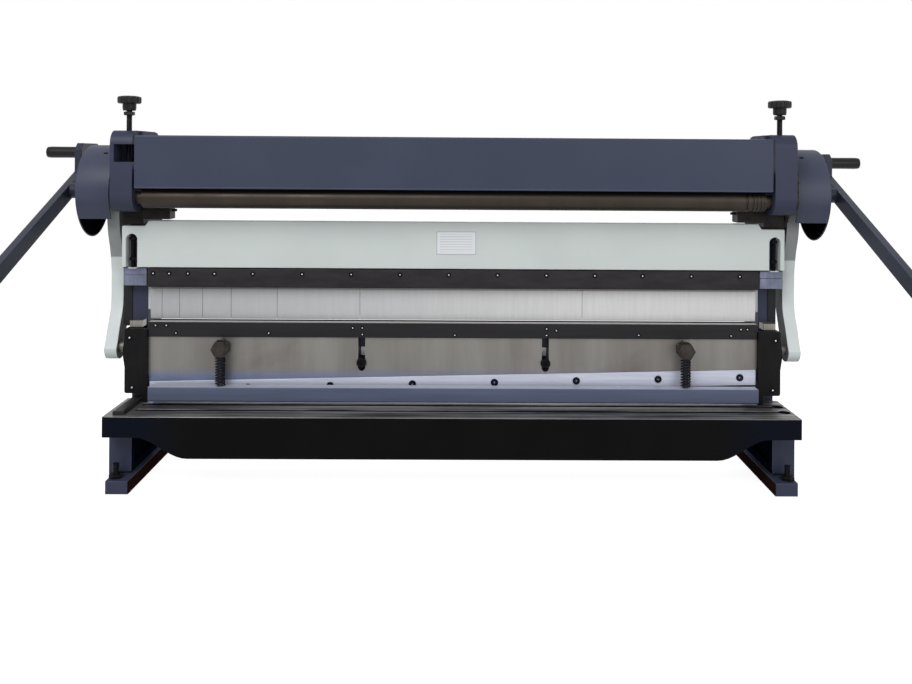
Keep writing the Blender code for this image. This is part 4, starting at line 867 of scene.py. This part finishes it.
pad = {"x": 0.1985, "half": 0.005, "z": (0.254, 0.272), "thick": 0.0002, "corner": 0.001}
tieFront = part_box("rear_tie_beam")[0].y
for word, side in bothSides:
    xs = (side * pad["x"] - pad["half"], side * pad["x"] + pad["half"])
    shape = plateGrid(xs, pad["z"], tieFront - pad["thick"], tieFront, pad["corner"])
    newPiece(word + "_slot_pad", shape, glintSteel, "frame_body")

bladeScrew = {"x": (-0.6195, -0.4425, -0.2655, -0.0885, 0.0885, 0.2655, 0.4425, 0.6195), "radius": 0.0083,
              "high": 0.00008, "socket": 0.0036, "glint": 0.0011}
blade = {"top": 0.2336, "rake": 0.031, "half": 0.654, "deep": 0.033}
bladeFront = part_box("upper_shear_blade")[0].y


def bladeMiddle(x):
    # The top edge falls by the rake from the right end to the left, and the middle lies half the depth lower
    return blade["top"] - blade["rake"] * (blade["half"] - x) / blade["half"] / 2 - blade["deep"] / 2


spots = [(x, bladeFront, bladeMiddle(x)) for x in bladeScrew["x"]]
screwRow("upper_blade", bladeScrew, spots, "carriage_body", screwBlue)

eye = {"z": 0.279, "face": 0.0140, "raised": 0.0011, "nutFlats": 0.030, "nutDeep": 0.0085,
       "nutBack": -0.0203, "bore": 0.0102, "chamfer": 0.0018, "sunk": 0.0002, "bevel": 0.001,
       "fillet": 0.0008}
for word, side in bothSides:
    softened(word + "_eye_bolt", 0.0013, boltBrown, angle=35)
    low, high, (x, y, z) = boxed(word + "_eye_bolt")
    front, back, nutBack = low.y - eye["raised"], low.y + eye["sunk"], datumY + eye["nutBack"]
    profile = eased([(0, front, 0), (eye["face"] - eye["bevel"], front, eye["fillet"]),
                     (eye["face"], back, 0), (0, back, 0)])
    centre = (x, 0, eye["z"])
    nut = hexagonNut(nutBack - eye["nutDeep"], nutBack, eye["nutFlats"], eye["chamfer"], "Y", centre,
                     bore=eye["bore"])
    newPiece(word + "_eye_bolt_nut", merged([turned(profile, "Y", centre, 40), nut]), boltBrown,
             "carriage_body")
print("carriage done")

# The sprung hold-down
barEnds = (-0.6455, 0.6485)
softened("hold_down_bar", 0.0010, barSteel, moved=shortened(*barEnds))
for word, side in bothSides:
    softened(word + "_hold_down_rod", 0.0005, rodSteel)

coil = {"wire": 0.0036, "outer": 0.0225, "turns": 10, "pointsPerTurn": 26, "roundPoints": 12}


def coilShape(centre, low, high):
    # A round wire along a helix: each ring lies across the helix's direction, and the ends are points
    rows = coil["turns"] * coil["pointsPerTurn"] + 1
    share = np.linspace(0, 1, rows)
    angle = share * coil["turns"] * 2 * np.pi
    radius, wire = (coil["outer"] - coil["wire"]) / 2, coil["wire"] / 2
    rise = high - low - coil["wire"]
    route = np.stack([centre[0] + radius * np.cos(angle), centre[1] + radius * np.sin(angle),
                      low + wire + rise * share], -1)
    outward = np.stack([np.cos(angle), np.sin(angle), 0 * angle], -1)
    along = np.gradient(route, axis=0)
    along /= np.linalg.norm(along, axis=1)[:, None]
    upward = np.cross(along, outward)
    turn = np.arange(coil["roundPoints"]) * 2 * np.pi / coil["roundPoints"]
    thick = np.full(rows, wire)
    thick[[0, -1]] = 0
    ring = (np.cos(turn)[None, :, None] * outward[:, None] + np.sin(turn)[None, :, None] * upward[:, None])
    return route[:, None] + ring * thick[:, None, None], gridFaces(rows, coil["roundPoints"])


for word, side in bothSides:
    node = word + "_hold_down_spring"
    low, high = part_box(node)
    centre = boxed(word + "_hold_down_rod")[2][:2]
    shape = coilShape(centre, low.z, high.z)
    spring = newPiece(word + "_spring_coil", shape, springSteel, None, sharpAngle=60)
    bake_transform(spring)
    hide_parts(node)
print("hold-down done")

# Links, shaft, levers and grips
lever = {"hub": (0.040, 0.610), "half": 0.017, "long": 0.559, "slope": 23.75, "inner": 0.848, "outer": 0.864,
         "hubStart": 0.8045, "front": 0.093, "rear": 0.205, "top": 0.709, "corner": 0.014, "edge": 0.0014,
         "raised": {"left": 0.007, "right": -0.007}, "seam": (-0.1, -0.12), "heelFillet": 0.006,
         "plateFillet": 0.002, "neckFillet": 0.003, "endShare": 0.97}
# Shares of the grip's radius, then lengths and fillets
grip = {"start": 0.96, "waist": 0.985, "end": 0.93, "swell": 0.012, "shoulder": 0.010,
        "startFillet": 0.0008, "fillet": 0.004, "waistFillet": 0.02, "endFillet": 0.0028}


def leverOutline(raised):
    # Two parallel edges at the slope, from the round front end to the plate for the grip at the rear; the
    # outline starts and ends on the lower edge
    slope = math.radians(lever["slope"])
    forward = np.array((-math.cos(slope), -math.sin(slope)))
    upward = np.array((-math.sin(slope), math.cos(slope)))
    hub, half, top = np.array(lever["hub"]), lever["half"], lever["top"] + raised
    far, corner = hub + forward * lever["long"], lever["corner"]

    def onEdge(y, sign):
        start = hub + upward * half * sign
        return (y, start[1] + (y - start[0]) * math.tan(slope))

    rear, front, fillet, end = lever["rear"], lever["front"], lever["plateFillet"], half * lever["endShare"]
    corners = [(*onEdge(lever["seam"][0], -1), 0), (*onEdge(rear, -1), lever["heelFillet"]),
               (rear, top - corner, fillet), (rear - corner, top, fillet),
               (front + corner, top, fillet), (front, top - corner, fillet),
               (*onEdge(front, 1), lever["neckFillet"]), (*(far + upward * half), end),
               (*(far - upward * half), end), (*onEdge(lever["seam"][1], -1), 0)]
    return eased(corners, 8) + np.array((datumY, 0))


for word, side in bothSides:
    softened(word + "_link", 0.0026, linkPaint, 3)
    raised = lever["raised"][word]
    shape = slab(leverOutline(raised), side * lever["inner"], side * lever["outer"])
    bar = newPiece(word + "_lever_bar", shape, leverPaint, "main_shaft_body",
                   stands=[word + "_lever"])
    roundEdges(bar, lever["edge"])
    start, end, half = side * lever["hubStart"], side * lever["inner"], lever["half"]
    hub = turned([(0, start), (half, start), (half, end), (0, end)], "X",
                 (0, datumY + lever["hub"][0], lever["hub"][1]), 48)
    newPiece(word + "_lever_hub", hub, leverPaint, "main_shaft_body")
    repainted(word + "_eccentric", gearSteel)
    low, high, (x, y, z) = boxed(word + "_crank_grip")
    inner, outer = (high.x, low.x) if side < 0 else (low.x, high.x)
    radius = (high.z - low.z) / 2
    profile = eased([(0, inner, 0), (radius * grip["start"], inner, grip["startFillet"]),
                     (radius, inner + side * grip["swell"], grip["fillet"]),
                     (radius * grip["waist"], (inner + outer) / 2, grip["waistFillet"]),
                     (radius, outer - side * grip["shoulder"], grip["fillet"]),
                     (radius * grip["end"], outer, grip["endFillet"]), (0, outer, 0)])
    newPiece(word + "_grip", turned(profile, "X", (0, y, z + raised), 48), plasticBlack, "main_shaft_body",
             stands=[word + "_crank_grip"])
print("drive done")

# The slip rolls
rolls = {"radius": 0.022, "half": 0.6555, "journal": 0.015, "rearHalf": 0.606, "rearJournal": 0.012,
         "edge": 0.0008, "journalFillet": 0.001, "shoulder": 0.0022, "grooveRows": 9, "hollow": 0.8,
         "grooves": ((0.6147, 0.0024), (0.6278, 0.0020), (0.6359, 0.0017), (0.6439, 0.0015),
                     (0.6510, 0.0012))}


def rollShape(node, half, journal, grooves=()):
    # The profile runs from the left journal to the right one; each groove is a rounded dip in it, as deep
    # as half its width
    low, high, centre = boxed(node)
    radius, edge, fillet = rolls["radius"], rolls["edge"], rolls["journalFillet"]
    start = [(0, low.x, 0), (journal, low.x, fillet), (journal, -half, 0), (radius, -half, edge),
             (radius, 0, 0)]
    line = [eased(start)[:-1]]
    for middle, wide in grooves:
        turn = np.linspace(0, np.pi, rolls["grooveRows"])
        dip = wide * np.sin(turn) ** rolls["hollow"]
        line.append(np.stack([radius - dip, middle - wide * np.cos(turn)], -1))
    line.append(eased([(radius, half - rolls["shoulder"], 0), (radius, half, edge), (journal, half, 0),
                       (journal, high.x, fillet), (0, high.x, 0)]))
    return turned(np.vstack(line), "X", (0, *centre[1:]), 72)


for node, *form in (("lower_roll", rolls["half"], rolls["journal"], rolls["grooves"]),
                    ("upper_roll", rolls["half"], rolls["journal"]),
                    ("rear_roll", rolls["rearHalf"], rolls["rearJournal"])):
    newPiece(node + "_turned", rollShape(node, *form), rollSteel, node + "_body",
             stands=[node])
for node in ("lower_roll_gear", "upper_roll_gear", "drive_gear", "main_shaft"):
    repainted(node, gearSteel)
for word, side in bothSides:
    softened(word + "_roll_block", 0.0008, plainSteel)
    softened(word + "_rear_roll_bracket", 0.0010, bracketBlack)
print("rolls done")

# Star knobs on the pressure screws
knob = {"radius": 0.0242, "lobes": 18, "lobeDeep": 0.045, "capLow": 0.798, "capHigh": 0.814, "neck": 0.0140,
        "neckLow": 0.783, "nutLow": 0.773, "nutHigh": 0.781, "flats": 0.020, "chamfer": 0.0016,
        "screw": 0.006, "pitch": 0.00175, "run": 0.002, "lobeStart": 0.001, "lobePower": 0.7}
# Corners from the top down: a width and a level of the knob, the share of the width, the rise over the
# level, and the fillet
knobCorners = (("radius", "capHigh", 0.62, 0, 0.002), ("radius", "capHigh", 0.95, -0.0016, 0.0012),
               ("radius", "capHigh", 1, -0.004, 0.0016), ("radius", "capLow", 1, 0.0022, 0.0016),
               ("radius", "capLow", 0.93, 0, 0.001), ("neck", "capLow", 1, -0.0004, 0.001),
               ("neck", "neckLow", 1, 0.004, 0.002), ("neck", "neckLow", 0.9, 0, 0.001))


def scallop(angle, height):
    # From the lower side of the cap up, the radius falls back between the lobes
    onCap = np.clip((height - knob["capLow"]) / knob["lobeStart"], 0, 1)
    hollow = (0.5 - 0.5 * np.cos(angle * knob["lobes"])) ** knob["lobePower"]
    return 1 - knob["lobeDeep"] * onCap * hollow


for word, side in bothSides:
    low, high, (x, y, z) = boxed(word + "_knob_screw")
    top, foot = knob["capHigh"], knob["neckLow"]
    corners = [(knob[wide] * share, knob[level] + rise, fillet)
               for wide, level, share, rise, fillet in knobCorners]
    outline = eased([(0, top, 0), *corners, (0, foot, 0)])
    parts = [turned(outline, "Z", (x, y, 0), 144, wave=scallop),
             hexagonNut(knob["nutLow"], knob["nutHigh"], knob["flats"], knob["chamfer"], "Z", (x, y, 0)),
             threaded(low.z, foot + knob["run"], knob["screw"], knob["pitch"], (x, y, 0))]
    newPiece(word + "_star_knob", merged(parts), plasticBlack, word + "_knob_body",
             stands=[word + "_knob_screw"])
print("knobs done")

# Floor, light and camera
floorSize = 14.0
floorMesh = bpy.data.meshes.new("floor")
corners = [(x * floorSize, y * floorSize, 0) for x, y in ((-1, -1), (1, -1), (1, 1), (-1, 1))]
floorMesh.from_pydata(corners, [], [(0, 1, 2, 3)])
floor = linked("floor", floorMesh)


def seenWhite(tree):
    # 1 on the rays that show a background: from the camera, in gloss and through glass
    path = addNode(tree, "ShaderNodeLightPath").outputs
    seen = calculated(tree, "MAXIMUM", path["Is Camera Ray"], path["Is Glossy Ray"])
    return calculated(tree, "MAXIMUM", seen, path["Is Transmission Ray"])


stage = {"floorTone": 0.5, "floorGlow": 0.86, "ambient": 0.32}
floorPaint, tree, shader = newFinish("paleFloor", 0.9, specular=0.0)
shader.inputs["Base Color"].default_value = (*[stage["floorTone"]] * 3, 1)
shader.inputs["Emission Color"].default_value = (1, 1, 1, 1)
glow = times(tree, seenWhite(tree), stage["floorGlow"], clamp=False)
tree.links.new(glow, shader.inputs["Emission Strength"])
floorMesh.materials.append(floorPaint)

world = bpy.data.worlds.new("paleRoom")
bpy.context.scene.world = world
world.use_nodes = True
tree = world.node_tree
background = tree.nodes["Background"]
background.inputs["Color"].default_value = (1, 1, 1, 1)
strength = ranged(tree, seenWhite(tree), 0, 1, stage["ambient"], 1.0)
tree.links.new(strength, background.inputs["Strength"])

lamps = {"key": ((-1.3, -2.6, 2.9), 2.4, 82.0), "fill": ((2.2, -2.8, 1.4), 2.2, 30.0),
         "back": ((0.4, 2.6, 2.6), 2.2, 32.0)}     # place, width, power
aim = Vector((0, datumY - 0.1, 0.42))
for name, (place, size, power) in lamps.items():
    lamp = bpy.data.lights.new(name, "AREA")
    lamp.shape = "DISK"
    lamp.size = size
    lamp.energy = power
    holder = linked(name, lamp)
    holder.location = place
    holder.rotation_euler = (aim - Vector(place)).to_track_quat("-Z", "Y").to_euler()

wide, tall = view["picture"]
lens = bpy.data.cameras.new("view")
lens.sensor_width = 36.0
lens.lens = view["focal"] / wide * lens.sensor_width
lens.shift_x = (wide / 2 - view["middle"][0]) / wide
lens.shift_y = (view["middle"][1] - tall / 2) / wide
lens.clip_start = 0.05
camera = linked("view", lens)
standpoint = Matrix.Translation((0, datumY - view["back"], view["high"]))
levelled = Matrix.Rotation(-view["yaw"], 4, "Z") @ Matrix.Rotation(math.pi / 2, 4, "X")
camera.matrix_world = standpoint @ levelled @ Matrix.Rotation(view["roll"], 4, "Z")
bpy.context.scene.camera = camera
bpy.context.scene.view_settings.view_transform = "Standard"
print("stage done")

bpy.context.view_layer.update()
